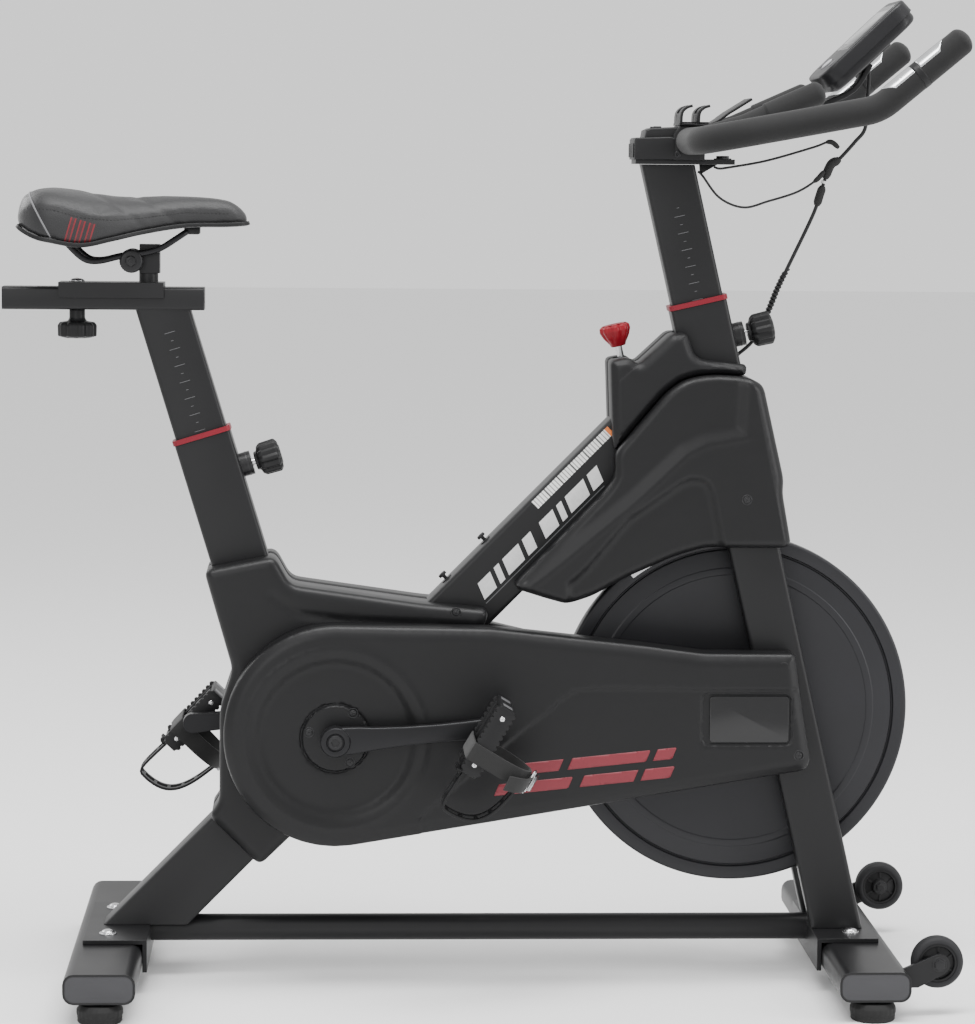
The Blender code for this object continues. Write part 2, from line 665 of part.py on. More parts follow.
def rod_ends(z0, z1):
    """Two points on the tension rod's line at two heights."""
    return (ROD.x_at(z0), 0, z0), (ROD.x_at(z1), 0, z1)


def make_bracket_bearing():
    half = BRACKET_SHELL_HALF + 0.002
    outer, inner = BEARING_RADIUS, bore(SPINDLE_RADIUS, 32)
    turned("crank_bearing", [(inner, half), (outer, half), (outer, -half), (inner, -half)],
           (X_BB, 0, Z_BB), (0, 1, 0), 32, STEEL, 0.3, 1.0)


def pin_line(axis, up):
    """Where a pull pin's line leaves the post, and its direction, square to the post."""
    return Axis(*axis.at(up, 0), atan2(-axis.ux, axis.uz))


def boss_on(tube, axis, up):
    """A boss on the tube's front face, bored for the pull pin."""
    line = pin_line(axis, up)
    start, end = TUBE_DEPTH / 2 - 0.001, TUBE_DEPTH / 2 + BOSS_LENGTH
    join(tube, rod(BOSS_RADIUS, spot(line.at(start)), spot(line.at(end)), 24))
    cut(tube, rod(bore(PIN_RADIUS, 16), spot(line.at(start - 0.01)), spot(line.at(end + 0.01)), 16))


def spot(point, y=0.0):
    return Vector((point[0], y, point[1]))


def make_seat_tube():
    beam_top = BEAM.at(0, -(BEAM_DEPTH / 2 + GAP))
    tube = box_tube("seat_tube", SEAT, -0.15, SEAT_COLLAR_UP, TUBE_DEPTH, TUBE_WIDTH, STEEL_WALL,
                    trims=(((beam_top[0], 0, beam_top[1]), (BEAM.uz, 0, -BEAM.ux)),))
    boss_on(tube, SEAT, SEAT_COLLAR_UP - PIN_BELOW_COLLAR)


def make_head_tube():
    floor = CROWN_TOP - 0.004
    tube = box_tube("head_tube", HEAD, 0.3, HEAD_COLLAR_UP, TUBE_DEPTH, TUBE_WIDTH, STEEL_WALL,
                    trims=(((0, 0, floor), (0, 0, -1)),))
    rear = HEAD.x_at(CROWN_TOP) - TUBE_DEPTH / 2 - 0.012
    front = HEAD.x_at(CROWN_BOTTOM) + LEG_DEPTH / 2 + 0.006
    join(tube, block((rear, -LEG_OUTSIDE, CROWN_BOTTOM), (front, LEG_OUTSIDE, CROWN_TOP)))
    pivot = brake_pivot()
    for side in (RIGHT, LEFT):
        ear = [(pivot[0] - 0.010, CROWN_BOTTOM + 0.004), *arc(pivot, 0.010, 180, 360, 8),
               (pivot[0] + 0.010, CROWN_BOTTOM + 0.004)]
        join(tube, slab(ear, side * EAR_INSIDE, side * (EAR_INSIDE + 0.005)))
    cut(tube, across(bore(BRAKE_PIN_RADIUS, 16), pivot, -0.04, 0.04, 16))
    boss_on(tube, HEAD, HEAD_COLLAR_UP - PIN_BELOW_COLLAR)


def brake_pivot():
    """The magnet bracket's pivot, under the rear end of the fork crown."""
    x = HEAD.x_at(CROWN_TOP) - TUBE_DEPTH / 2 + 0.001
    return (x, CROWN_BOTTOM - 0.006)


def make_collar(name, axis, up, colour):
    grow = 2 * COLLAR_PROUD
    ring = publish(name, prism(TUBE_DEPTH + grow, TUBE_WIDTH + grow, up + GAP, up + COLLAR_THICKNESS,
                               along(axis), CORNER + COLLAR_PROUD), colour, 0.45)
    cut(ring, prism(POST_DEPTH + 2 * SLIP, POST_WIDTH + 2 * SLIP, up - 0.01, up + 0.02,
                    along(axis), CORNER - STEEL_WALL))


def make_fork_leg(name, side):
    y = side * (LEG_INSIDE + LEG_WIDTH / 2)
    leg = box_tube(name, HEAD, -0.05, 0.7, LEG_DEPTH, LEG_WIDTH, STEEL_WALL, y,
                   trims=(((0, 0, PLATE_TOP + GAP), (0, 0, -1)),
                          ((0, 0, CROWN_BOTTOM - GAP), (0, 0, 1))))
    axle = (X_AXLE, Z_AXLE)
    inner = -LEG_DEPTH / 2 + 0.008
    low, high = HEAD.up_to(Z_AXLE - 0.055), HEAD.up_to(Z_AXLE + 0.075)
    dropout = arc(axle, DROPOUT_RADIUS, 125, 262, 12) + [HEAD.at(low, inner), HEAD.at(high, inner)]
    join(leg, slab(dropout, side * 0.036, side * 0.044))
    join(leg, across(DROPOUT_RADIUS - 0.004, axle, side * 0.031, side * 0.051, 24))
    cut(leg, across(bore(AXLE_RADIUS, 24), axle, side * 0.02, side * 0.06, 24))


def make_frame():
    make_beam()
    make_base_rail()
    make_seat_tube()
    make_head_tube()
    make_bracket_bearing()
    for label, side in SIDES:
        make_fork_leg("fork_leg_" + label, side)
    make_collar("seat_collar", SEAT, SEAT_COLLAR_UP, RED)
    make_collar("head_collar", HEAD, HEAD_COLLAR_UP, RED)


# ---------------------------------------------------------------- covers
def box_hole(axis, depth, width, up0, up1, room=0.0015):
    return prism(depth + 2 * room, width + 2 * room, up0, up1, along(axis))


def frame_cover_outline():
    """Seat tube cuff, shoulder over the beam, and cuff round the strut below the bracket."""
    cuff_up = SEAT.up_to(Z_BB + 0.200)
    nose_up = BEAM.up_to(Z_BB + 0.116)
    rear = TUBE_DEPTH / 2 + 0.008
    strut_up = -0.172
    return [SEAT.at(cuff_up, -rear), SEAT.at(cuff_up - 0.008, rear), SEAT.at(cuff_up - 0.045, rear + 0.008),
            SEAT.at(cuff_up - 0.055, rear + 0.029), (X_BB + 0.099, Z_BB + 0.150),
            (X_BB + 0.177, Z_BB + 0.143), BEAM.at(nose_up + 0.038, 0.030), BEAM.at(nose_up, 0.043),
            BEAM.at(0.080, 0.045), BEAM.at(0, 0.050), BEAM.at(strut_up + 0.05, 0.043),
            BEAM.at(strut_up, 0.042), BEAM.at(strut_up, -0.041),
            BEAM.at(strut_up + 0.02, -0.043), (X_BB - 0.133, Z_BB + 0.027),
            SEAT.at(SEAT.up_to(Z_BB + 0.085), -rear - 0.002)]


def make_frame_cover(name, side):
    cover = pan(name, frame_cover_outline(), FRAME_COVER_HALF, 0.00015, side, CHARCOAL, 0.5)
    cut(cover, box_hole(SEAT, TUBE_DEPTH, TUBE_WIDTH, -0.05, 0.6))
    cut(cover, box_hole(BEAM, BEAM_DEPTH, BEAM_WIDTH, -0.6, 0.9))
    cut(cover, across(SPINDLE_RADIUS + 0.012, (X_BB, Z_BB), side * 0.04, side * 0.07, 24))


def guard_point(share, rise):
    """A point a share of the way from the bracket to the head axis, above the line of axles."""
    reach = HEAD.x_at(Z_AXLE) - X_BB
    return (X_BB + share * reach, Z_BB + share * (Z_AXLE - Z_BB) + rise)


def guard_outline(drop):
    """The left guard covers no belt, so its upper edge drops lower."""
    top = [guard_point(1.01, 0.037), guard_point(1.0, 0.0745 - drop), guard_point(0.80, 0.080 - drop),
           guard_point(0.67, 0.092 - drop), guard_point(0.52, 0.104 - drop),
           guard_point(0.335, 0.119 - drop / 2)]
    front = [guard_point(1.026, -0.062), guard_point(1.038, -0.052)]
    return top + arc((X_BB, Z_BB + 0.002), GUARD_RADIUS, 92, 278, 22) + front


def make_guard(name, side):
    outline = guard_outline(LEFT_GUARD_DROP if side == LEFT else 0.0)
    guard = pan(name, outline, GUARD_FACE, GUARD_BACK, side, CHARCOAL, 0.48)
    cut(guard, across(SPINDLE_RADIUS + 0.012, (X_BB, Z_BB), side * 0.08, side * 0.11, 24))


def shroud_top():
    """The shroud's upper edge, from the beam up and over the head tube."""
    rear = HEAD_COLLAR_HEIGHT - 0.168
    return [(BEAM.x_at(rear, -0.007), rear),
            (HEAD.x_at(HEAD_COLLAR_HEIGHT - 0.100) - 0.064, HEAD_COLLAR_HEIGHT - 0.100),
            (HEAD.x_at(HEAD_COLLAR_HEIGHT - 0.086) - 0.043, HEAD_COLLAR_HEIGHT - 0.086),
            (HEAD.x_at(HEAD_COLLAR_HEIGHT - 0.080) - 0.023, HEAD_COLLAR_HEIGHT - 0.080),
            (HEAD.x_at(HEAD_COLLAR_HEIGHT - 0.078), HEAD_COLLAR_HEIGHT - 0.078),
            (HEAD.x_at(HEAD_COLLAR_HEIGHT - 0.080) + 0.034, HEAD_COLLAR_HEIGHT - 0.080)]


def shroud_outline():
    top = FLYWHEEL_TOP
    front = [(HEAD.x_at(top + 0.177) + 0.051, top + 0.177), (HEAD.x_at(top + 0.068) + 0.051, top + 0.068),
             (HEAD.x_at(top + 0.052) + 0.046, top + 0.052), (HEAD.x_at(top - 0.007) + 0.043, top - 0.007)]
    under = [(HEAD.x_at(top - 0.011) + 0.032, top - 0.011), (X_AXLE - 0.040, top - 0.011),
             (X_AXLE - 0.074, top - 0.021), (X_AXLE - 0.128, top - 0.045), (X_AXLE - 0.170, top - 0.068),
             (X_AXLE - 0.197, top - 0.077), (X_AXLE - 0.223, top - 0.070)]
    rear = [(BEAM.x_at(top - 0.058, 0.020), top - 0.058), (BEAM.x_at(top + 0.052, 0.018), top + 0.052),
            (BEAM.x_at(top + 0.070, 0.014), top + 0.070)]
    return shroud_top() + front + under + rear


def make_shroud(name, side):
    cover = pan(name, shroud_outline(), SHROUD_HALF, 0.00015, side, CHARCOAL, 0.5)
    cut(cover, box_hole(BEAM, BEAM_DEPTH, BEAM_WIDTH, 0.1, 0.9))
    cut(cover, box_hole(HEAD, TUBE_DEPTH, TUBE_WIDTH, HEAD.up_to(CROWN_TOP), 0.9))
    cut(cover, along_leg_hole(side))
    cut(cover, across(FLYWHEEL_RADIUS + 0.008, (X_AXLE, Z_AXLE), -SLOT_HALF_WIDTH, SLOT_HALF_WIDTH, 64))


def along_leg_hole(side):
    y = side * (LEG_INSIDE + LEG_WIDTH / 2)
    return prism(LEG_DEPTH + 0.003, LEG_WIDTH + 0.003, 0.2, 0.52, along(HEAD, y))


def head_cover_outline():
    """Knob tower at the rear, a slope up to the head tube, and a step down in front of it."""
    collar = HEAD_COLLAR_HEIGHT
    tower = collar - 0.0635
    rear = ROD.x_at(tower) - 0.016
    edge = [(x, z + GAP) for x, z in shroud_top()]
    return [(rear, tower), (ROD.x_at(tower) + 0.006, tower + 0.004), (ROD.x_at(tower) + 0.016, tower - 0.004),
            (HEAD.x_at(collar - 0.032) - 0.041, collar - 0.032),
            (HEAD.x_at(collar - 0.031) - 0.023, collar - 0.031),
            (HEAD.x_at(collar - 0.056) - 0.020, collar - 0.056),
            (HEAD.x_at(collar - 0.062) - 0.011, collar - 0.062),
            (HEAD.x_at(collar - 0.067) + 0.0365, collar - 0.067),
            (edge[5][0] + 0.001, collar - 0.070)] + edge[::-1] + [(rear + 0.003, edge[0][1] + 0.03)]


def make_head_cover(name, side):
    cover = pan(name, head_cover_outline(), HEAD_COVER_HALF, 0.00015, side, CHARCOAL, 0.55)
    cut(cover, box_hole(BEAM, BEAM_DEPTH, BEAM_WIDTH, 0.1, 0.9))
    cut(cover, box_hole(HEAD, TUBE_DEPTH, TUBE_WIDTH, 0.3, 0.9))
    cut(cover, rod(ROD_RADIUS + 0.004, *rod_ends(0.6, 0.8), 16))


def make_covers():
    for label, side in SIDES:
        make_frame_cover("frame_cover_" + label, side)
        make_guard("belt_guard_" + label, side)
        make_shroud("shroud_" + label, side)
        make_head_cover("head_cover_" + label, side)


# ---------------------------------------------------------------- drive
def make_pulley(name, centre, radius, hub_radius, shaft_radius, sides):
    inner = bore(shaft_radius, 24)
    half = BELT_WIDTH / 2 + 0.002
    rim = radius - 0.008
    if rim > hub_radius + 0.01:
        profile = [(inner, half + 0.001), (hub_radius, half + 0.001), (hub_radius, 0.002), (rim, 0.002),
                   (rim, half), (radius, half), (radius, -half), (rim, -half), (rim, -0.002),
                   (hub_radius, -0.002), (hub_radius, -half), (inner, -half)]
    else:
        profile = [(inner, half), (radius, half), (radius, -half), (inner, -half)]
    turned(name, profile, (centre[0], -BELT_PLANE, centre[1]), (0, -1, 0), sides, STEEL, 0.4, 0.8)


def make_belt():
    crank, wheel = (X_BB, Z_BB), (X_AXLE, Z_AXLE)
    large, small = bore(CRANK_PULLEY_RADIUS, 36), bore(WHEEL_PULLEY_RADIUS, 36)
    inner = belt_line(crank, large, wheel, small)
    outer = belt_line(crank, large + BELT_THICKNESS, wheel, small + BELT_THICKNESS)
    publish("drive_belt", slab(outer, -BELT_PLANE - BELT_WIDTH / 2, -BELT_PLANE + BELT_WIDTH / 2, (inner,)),
            RUBBER, 0.7)


def crank_end(side):
    turn = CRANK_RISE + (0 if side == RIGHT else pi)
    return (X_BB + CRANK_LENGTH * cos(turn), Z_BB + CRANK_LENGTH * sin(turn))


def make_crank(name, side):
    bracket, end = (X_BB, Z_BB), crank_end(side)
    inside, outside = side * CRANK_INSIDE, side * (CRANK_INSIDE + CRANK_THICKNESS)
    arm = publish(name, slab(belt_line(bracket, 0.0165, end, 0.0125, 12), inside, outside),
                  BLACK_PAINT, 0.45, 0.3, pivot=(X_BB, 0, Z_BB))
    join(arm, across(0.0175, bracket, side * (CRANK_INSIDE - 0.004), side * (CRANK_INSIDE + 0.017), 24))
    cut(arm, across(bore(SPINDLE_RADIUS, 24), bracket, side * (CRANK_INSIDE - 0.01),
                    side * (CRANK_INSIDE + 0.012), 24))
    join(arm, across(PEDAL_AXLE_RADIUS, end, side * (CRANK_INSIDE + 0.005),
                     side * (PEDAL_MIDDLE + PEDAL_WIDTH / 2 - 0.008), 16))


def pedal_place(side):
    x, z = crank_end(side)
    return (Matrix.Translation((x, side * PEDAL_MIDDLE, z))
            @ Matrix.Rotation(-PEDAL_HANG[side], 4, "Y"))


def make_pedal(name, side):
    place = pedal_place(side)
    half = PEDAL_LENGTH / 2
    body = prism(PEDAL_LENGTH, PEDAL_WIDTH, -PEDAL_THICKNESS / 2, PEDAL_THICKNESS / 2, place, 0.010)
    x, z = crank_end(side)
    pedal = publish(name, body, RUBBER, 0.6, pivot=(x, side * PEDAL_MIDDLE, z))
    for end in (-1, 1):
        window = prism(half - 0.020, PEDAL_WIDTH - 0.030, -0.02, 0.02,
                       place @ Matrix.Translation((end * (half / 2 + 0.002), 0, 0)))
        cut(pedal, window)
    cut(pedal, across(bore(PEDAL_AXLE_RADIUS, 16), (x, z), side * (PEDAL_MIDDLE - PEDAL_WIDTH / 2 - 0.01),
                      side * (PEDAL_MIDDLE + PEDAL_WIDTH / 2 - 0.006), 16))


def make_toe_clip(name, side):
    place = pedal_place(side)
    band = slab(ribbon(CLIP_PATH, 0.003), -CLIP_HALF_WIDTH, CLIP_HALF_WIDTH)
    band.transform(Matrix.Translation((PEDAL_LENGTH / 2 - 0.044, 0, 0)))
    band.transform(place)
    x, z = crank_end(side)
    clip = publish(name, band, RUBBER, 0.5, pivot=(x, side * PEDAL_MIDDLE, z))
    reach = PEDAL_WIDTH / 2 + 0.0015
    side_path = [(reach, -0.010), (reach + 0.001, 0.028), (reach - 0.012, 0.053), (0.010, 0.0615)]
    path = side_path + [(-a, b) for a, b in side_path[::-1]]
    strap = slab(ribbon(path, 0.0022), -STRAP_HALF_WIDTH, STRAP_HALF_WIDTH)
    strap.transform(place @ Matrix.Translation((STRAP_AHEAD, 0, 0)) @ Matrix.Rotation(pi / 2, 4, "Z"))
    join(clip, strap)


def make_flywheel():
    half, inner = FLYWHEEL_THICKNESS / 2, bore(AXLE_RADIUS, 48)
    disc = FLYWHEEL_RADIUS - FLYWHEEL_RIM
    hub = LEG_INSIDE
    side = [(inner, hub), (0.030, hub), (0.034, half - 0.001), (disc - 0.002, half - 0.001),
            (disc - 0.0015, half - 0.004), (disc, half - 0.004), (disc + 0.0005, half),
            (FLYWHEEL_RADIUS - 0.0015, half), (FLYWHEEL_RADIUS, half - 0.0015)]
    turned("flywheel", side + [(r, -h) for r, h in side[::-1]], (X_AXLE, 0, Z_AXLE), (0, 1, 0), 48,
           BLACK_PAINT, 0.35, 0.4)
    publish("flywheel_axle", across(AXLE_RADIUS, (X_AXLE, Z_AXLE), -BELT_PLANE - 0.009, 0.054, 24),
            STEEL, 0.3, 1.0, pivot=(X_AXLE, 0, Z_AXLE))


def make_drive():
    make_flywheel()
    make_pulley("crank_pulley", (X_BB, Z_BB), CRANK_PULLEY_RADIUS, 0.018, SPINDLE_RADIUS, 48)
    make_pulley("flywheel_pulley", (X_AXLE, Z_AXLE), WHEEL_PULLEY_RADIUS, 0.018, AXLE_RADIUS, 24)
    make_belt()
    reach = CRANK_INSIDE + 0.0115
    publish("crank_spindle", across(SPINDLE_RADIUS, (X_BB, Z_BB), -reach, reach, 24), STEEL, 0.3, 1.0,
            pivot=(X_BB, 0, Z_BB))
    for label, side in SIDES:
        make_crank("crank_" + label, side)
        make_pedal("pedal_" + label, side)
        make_toe_clip("toe_clip_" + label, side)


# ---------------------------------------------------------------- brake
def rod_reach(radius):
    """How far up the tension rod's line a circle about the flywheel axle is met."""
    wx, wz = ROD.x - X_AXLE, ROD.z - Z_AXLE
    middle = wx * ROD.ux + wz * ROD.uz
    return -middle + sqrt(middle ** 2 - wx ** 2 - wz ** 2 + radius ** 2)


def make_brake():
    pivot = brake_pivot()
    web = FLYWHEEL_RADIUS + BRAKE_WEB_GAP
    start = atan2(pivot[1] - Z_AXLE, pivot[0] - X_AXLE) * 180 / pi - 0.6
    sector = (arc((X_AXLE, Z_AXLE), web + 0.008, start, start + 31, 14)
              + arc((X_AXLE, Z_AXLE), FLYWHEEL_RADIUS - MAGNET_REACH, start + 31, start, 14))
    hollow = (arc((X_AXLE, Z_AXLE), web, start - 5, start + 36, 14)
              + arc((X_AXLE, Z_AXLE), FLYWHEEL_RADIUS - 0.06, start + 36, start - 5, 14))
    cheek = FLYWHEEL_THICKNESS / 2 + 0.0035
    bracket = publish("magnet_bracket", slab(sector, -EAR_INSIDE + 0.001, EAR_INSIDE - 0.001), STEEL,
                      0.4, 0.8, pivot=(pivot[0], 0, pivot[1]))
    cut(bracket, slab(hollow, -cheek, cheek))
    join(bracket, across(BRAKE_PIN_RADIUS, pivot, -EAR_INSIDE - 0.007, EAR_INSIDE + 0.007, 16))
    low = rod_reach(web + 0.008) + PUSH_GAP
    knob_up = ROD.up_to(HEAD_COLLAR_HEIGHT - KNOB_BELOW_COLLAR)
    high = knob_up + KNOB_BORE_DEPTH - GAP
    publish("tension_rod", rod(ROD_RADIUS, spot(ROD.at(low)), spot(ROD.at(high)), 16), STEEL, 0.25, 1.0,
            pivot=spot(ROD.at(knob_up)))
    top = TENSION_KNOB_HEIGHT
    turned("tension_knob",
           [(0, top), (0.012, top), (0.0175, top - 0.004), (0.0180, top - 0.009), (0.0085, 0.001),
            (0.0075, 0), (bore(ROD_RADIUS, 24), 0), (bore(ROD_RADIUS, 24), KNOB_BORE_DEPTH),
            (0, KNOB_BORE_DEPTH)],
           spot(ROD.at(knob_up)), (ROD.ux, 0, ROD.uz), 24, RED, 0.35)


# ---------------------------------------------------------------- pull pins and knobs
def make_pull_pin(name, axis, collar_up):
    """A pin square to the post that stops at its face, with a knob on its outer end."""
    line = pin_line(axis, collar_up - PIN_BELOW_COLLAR)
    tip = POST_DEPTH / 2 + GAP
    knob = TUBE_DEPTH / 2 + BOSS_LENGTH + KNOB_STANDOFF
    direction = (line.ux, 0, line.uz)
    publish(name + "_pin", rod(PIN_RADIUS, spot(line.at(tip)), spot(line.at(knob + 0.015)), 16),
            STEEL, 0.3, 1.0, pivot=spot(line.at(tip)))
    inner = bore(PIN_RADIUS, 24)
    turned(name + "_knob",
           [(0, KNOB_LENGTH), (KNOB_RADIUS - 0.003, KNOB_LENGTH), (KNOB_RADIUS, KNOB_LENGTH - 0.003),
            (KNOB_RADIUS, 0.008), (KNOB_RADIUS - 0.004, 0.004), (0.011, 0.003), (0.010, 0), (inner, 0),
            (inner, 0.0155), (0, 0.0155)], spot(line.at(knob)), direction, 24, RUBBER, 0.5)


# ---------------------------------------------------------------- seat


def bar_along_x(tall, wide, x0, x1, z, corner=0.0):
    place = Matrix.Translation((0, 0, z)) @ Matrix.Rotation(pi / 2, 4, "Y")
    return prism(tall, wide, x0, x1, place, corner)


def make_seat_post():
    up0, up1 = SEAT_COLLAR_UP - SEAT_POST_BELOW, SEAT.up_to(SLIDER_HEIGHT) + 0.05
    post = box_tube("seat_post", SEAT, up0, up1, POST_DEPTH, POST_WIDTH, STEEL_WALL,
                    trims=(((0, 0, SLIDER_BOTTOM + 0.001), (0, 0, 1)),))
    x0, x1 = X_SLIDER - SLIDER_REAR, X_SLIDER + SLIDER_FRONT
    slider = as_tool(bar_along_x(SLIDER_TALL, SLIDER_WIDE, x0, x1, SLIDER_HEIGHT, 0.004))
    cut(slider, bar_along_x(SLIDER_TALL - 2 * SLIDER_WALL, SLIDER_WIDE - 2 * SLIDER_WALL, x0 - 0.01,
                            x1 + 0.01, SLIDER_HEIGHT, 0.002))
    x = X_SLIDER - BOLT_BEHIND
    reach = SLIDE_REACH + BOLT_RADIUS + 0.002
    cut(slider, block((x - reach, -BOLT_RADIUS - 0.001, SLIDER_BOTTOM - 0.01),
                      (x + reach, BOLT_RADIUS + 0.001, SLIDER_TOP + 0.01)))
    add_boolean(post, slider, "UNION")


def make_carriage():
    x0 = X_SLIDER - CARRIAGE_BEHIND - CARRIAGE_LENGTH / 2
    x1 = x0 + CARRIAGE_LENGTH
    half = SLIDER_WIDE / 2 + SLIP + CARRIAGE_WALL
    top = SLIDER_TOP + SLIP + CARRIAGE_PLATE
    carriage = publish("saddle_carriage", block((x0, -half, SLIDER_TOP - CARRIAGE_SKIRT), (x1, half, top)),
                       BLACK_PAINT, 0.5, 0.2)
    cut(carriage, block((x0 - 0.01, -SLIDER_WIDE / 2 - SLIP, SLIDER_BOTTOM),
                        (x1 + 0.01, SLIDER_WIDE / 2 + SLIP, SLIDER_TOP + SLIP)))
    stem_x = X_SLIDER - STEM_BEHIND
    join(carriage, rod(STEM_RADIUS, (stem_x, 0, top - 0.002), (stem_x, 0, Z_TILT + 0.006), 20))
    join(carriage, block((stem_x - STEM_RADIUS + 0.001, -LUG_HALF, Z_TILT - 0.014),
                         (stem_x + STEM_RADIUS + 0.002, LUG_HALF, Z_TILT + 0.019)))
    join(carriage, block((X_TILT, -LUG_HALF + 0.001, Z_TILT - 0.008),
                         (stem_x, LUG_HALF - 0.001, Z_TILT + 0.0065)))
    join(carriage, across(LUG_RADIUS, (X_TILT, Z_TILT), -LUG_HALF + 0.0005, LUG_HALF - 0.0005, 24))
    cut(carriage, across(bore(TILT_PIN_RADIUS, 16), (X_TILT, Z_TILT), -0.03, 0.03, 16))
    x = X_SLIDER - BOLT_BEHIND
    cut(carriage, rod(bore(BOLT_RADIUS, 16), (x, 0, SLIDER_TOP - 0.005), (x, 0, top + 0.01), 16))
    z_knob = SLIDER_BOTTOM - 0.033
    neck = SLIDER_BOTTOM - GAP - z_knob
    head = top + GAP - z_knob
    turned("slider_knob",
           [(0, head + 0.0045), (0.005, head + 0.004), (0.0085, head + 0.001), (0.0085, head),
            (BOLT_RADIUS, head), (BOLT_RADIUS, neck), (0.009, neck), (0.009, 0.018), (0.0205, 0.018),
            (0.0225, 0.015), (0.0225, 0.003), (0.0205, 0), (0, 0)],
           (x, 0, z_knob), (0, 0, 1), 24, RUBBER, 0.5)


def rail_line():
    """The saddle rails: one wire, joined at the nose, on both sides of the clamp."""
    nose = RECESS_TOP - SHELL_THICKNESS - RAIL_WIRE_RADIUS - 2 * GAP
    right = [(-0.083, 0.034, 0.038), (-0.068, 0.016, 0.037), (-0.052, 0.002, 0.034), (-0.036, 0.000, 0.029),
             (-0.016, 0.0045, 0.0215), (0.000, 0.0074, 0.0205), (0.018, 0.010, 0.0205),
             (0.034, 0.015, 0.0195), (0.050, 0.025, 0.017), (0.062, nose - 0.0027, 0.012),
             (0.067, nose, 0.0)]
    left = [(x, z, -y) for x, z, y in right[-2::-1]]
    return smoothed([(X_TILT + x, -y, Z_TILT + z) for x, z, y in right + left], 2)


def make_saddle_clamp():
    pin, disc, outside = TILT_PIN_RADIUS, CLAMP_DISC_RADIUS, CLAMP_DISC_OUTSIDE
    profile = [(0, outside), (0.006, outside), (0.0075, outside - 0.0015), (disc, outside - 0.0025),
               (disc, LUG_HALF + GAP), (pin, LUG_HALF + GAP)]
    turned_clamp = turned("saddle_clamp", profile + [(r, -h) for r, h in profile[::-1]],
                          (X_TILT, 0, Z_TILT), (0, 1, 0), 24, BLACK_PAINT, 0.5, 0.3)
    cut(turned_clamp, wire(rail_line(), RAIL_WIRE_RADIUS + 2 * GAP, 3))
    publish("saddle_rails", wire(rail_line(), RAIL_WIRE_RADIUS, 2), BLACK_PAINT, 0.35, 0.6,
            pivot=(X_TILT, 0, Z_TILT))


def stretched(ahead):
    """A distance ahead of the tilt pin, on a saddle of the named length."""
    return X_TILT + ahead * SADDLE_LENGTH / 0.267


def widened(half):
    return half * SADDLE_HALF_WIDTH / 0.084


def saddle_cushion_mesh():
    bm = bmesh.new()
    rings = []
    for ahead, half, top, bottom in SADDLE_STATIONS:
        half = widened(half)
        side = [(0.0, top), (0.55, top - 0.0015), (0.86, top - 0.008), (1.0, top * 0.62 + bottom * 0.38),
                (0.97, bottom + 0.003), (0.85, bottom)]
        loop = [(half * a, z) for a, z in side] + [(-half * a, z) for a, z in side[:0:-1]]
        rings.append([bm.verts.new((stretched(ahead), y, Z_TILT + z)) for y, z in loop])
    for a, b in zip(rings, rings[1:]):
        for k in range(len(a)):
            bm.faces.new((a[k], a[k - 1], b[k - 1], b[k]))
    bm.faces.new(rings[0])
    bm.faces.new(rings[-1][::-1])
    return to_mesh(bm)


def plan_plate(inset, z0, z1):
    """A plate of the saddle's outline seen from above, drawn in by an inset."""
    side = [(stretched(ahead), widened(half) - inset) for ahead, half, top, bottom in SADDLE_STATIONS[1:-2]]
    side[0] = (side[0][0] + inset / 2, side[0][1])
    outline = side + [(x, -y) for x, y in side[::-1]]
    plate = slab(outline, -(Z_TILT + z1), -(Z_TILT + z0))
    plate.transform(Matrix.Rotation(-pi / 2, 4, "X"))
    return plate


def make_saddle():
    cushion = publish("saddle_cushion", saddle_cushion_mesh(), (0.03, 0.03, 0.03), 0.6,
                      pivot=(X_TILT, 0, Z_TILT))
    cut(cushion, plan_plate(RECESS_INSET, 0.0, RECESS_TOP))
    top = RECESS_TOP - GAP
    publish("saddle_shell", plan_plate(RECESS_INSET + GAP, top - SHELL_THICKNESS, top), RUBBER, 0.6,
            pivot=(X_TILT, 0, Z_TILT))


def make_seat():
    make_seat_post()
    make_pull_pin("seat", SEAT, SEAT_COLLAR_UP)
    make_carriage()
    make_saddle_clamp()
    make_saddle()


# ---------------------------------------------------------------- handlebar
def from_bar(ahead, rise):
    return (X_BAR + ahead, BAR_HEIGHT + rise)


def make_bar_post():
    up0 = HEAD_COLLAR_UP - BAR_POST_BELOW
    box_tube("bar_post", HEAD, up0, HEAD.up_to(BAR_HEIGHT) + 0.05, POST_DEPTH, POST_WIDTH, STEEL_WALL,
             trims=(((0, 0, BAR_HEIGHT - MOUNT_BOTTOM - GAP), (0, 0, 1)),))


def make_handlebar():
    half, z = BAR_HALF_WIDTH, BAR_HEIGHT
    right = [(X_BAR + 0.2875, -half, z + 0.1165), (X_BAR + 0.1905, -half, z + 0.0355), (X_BAR, -half, z)]
    path = filleted(right + [(x, -y, h) for x, y, h in right[::-1]], 0.055, 6)
    bar = publish("handlebar", wire(path, BAR_RADIUS, 4), RUBBER, 0.8)
    for side in (RIGHT, LEFT):
        y = side * HORN_OFFSET
        horn = filleted([(X_BAR + 0.002, y, z + 0.001), (X_BAR + 0.060, y, z + 0.018),
                         (X_BAR + 0.1510, y, z + 0.0585)], 0.08, 4)
        join(bar, wire(horn, HORN_RADIUS, 4))


def console_place():
    x, z = from_bar(CONSOLE_AHEAD, CONSOLE_RISE)
    return Matrix.Translation((x, 0, z)) @ Matrix.Rotation(-CONSOLE_ANGLE, 4, "Y")


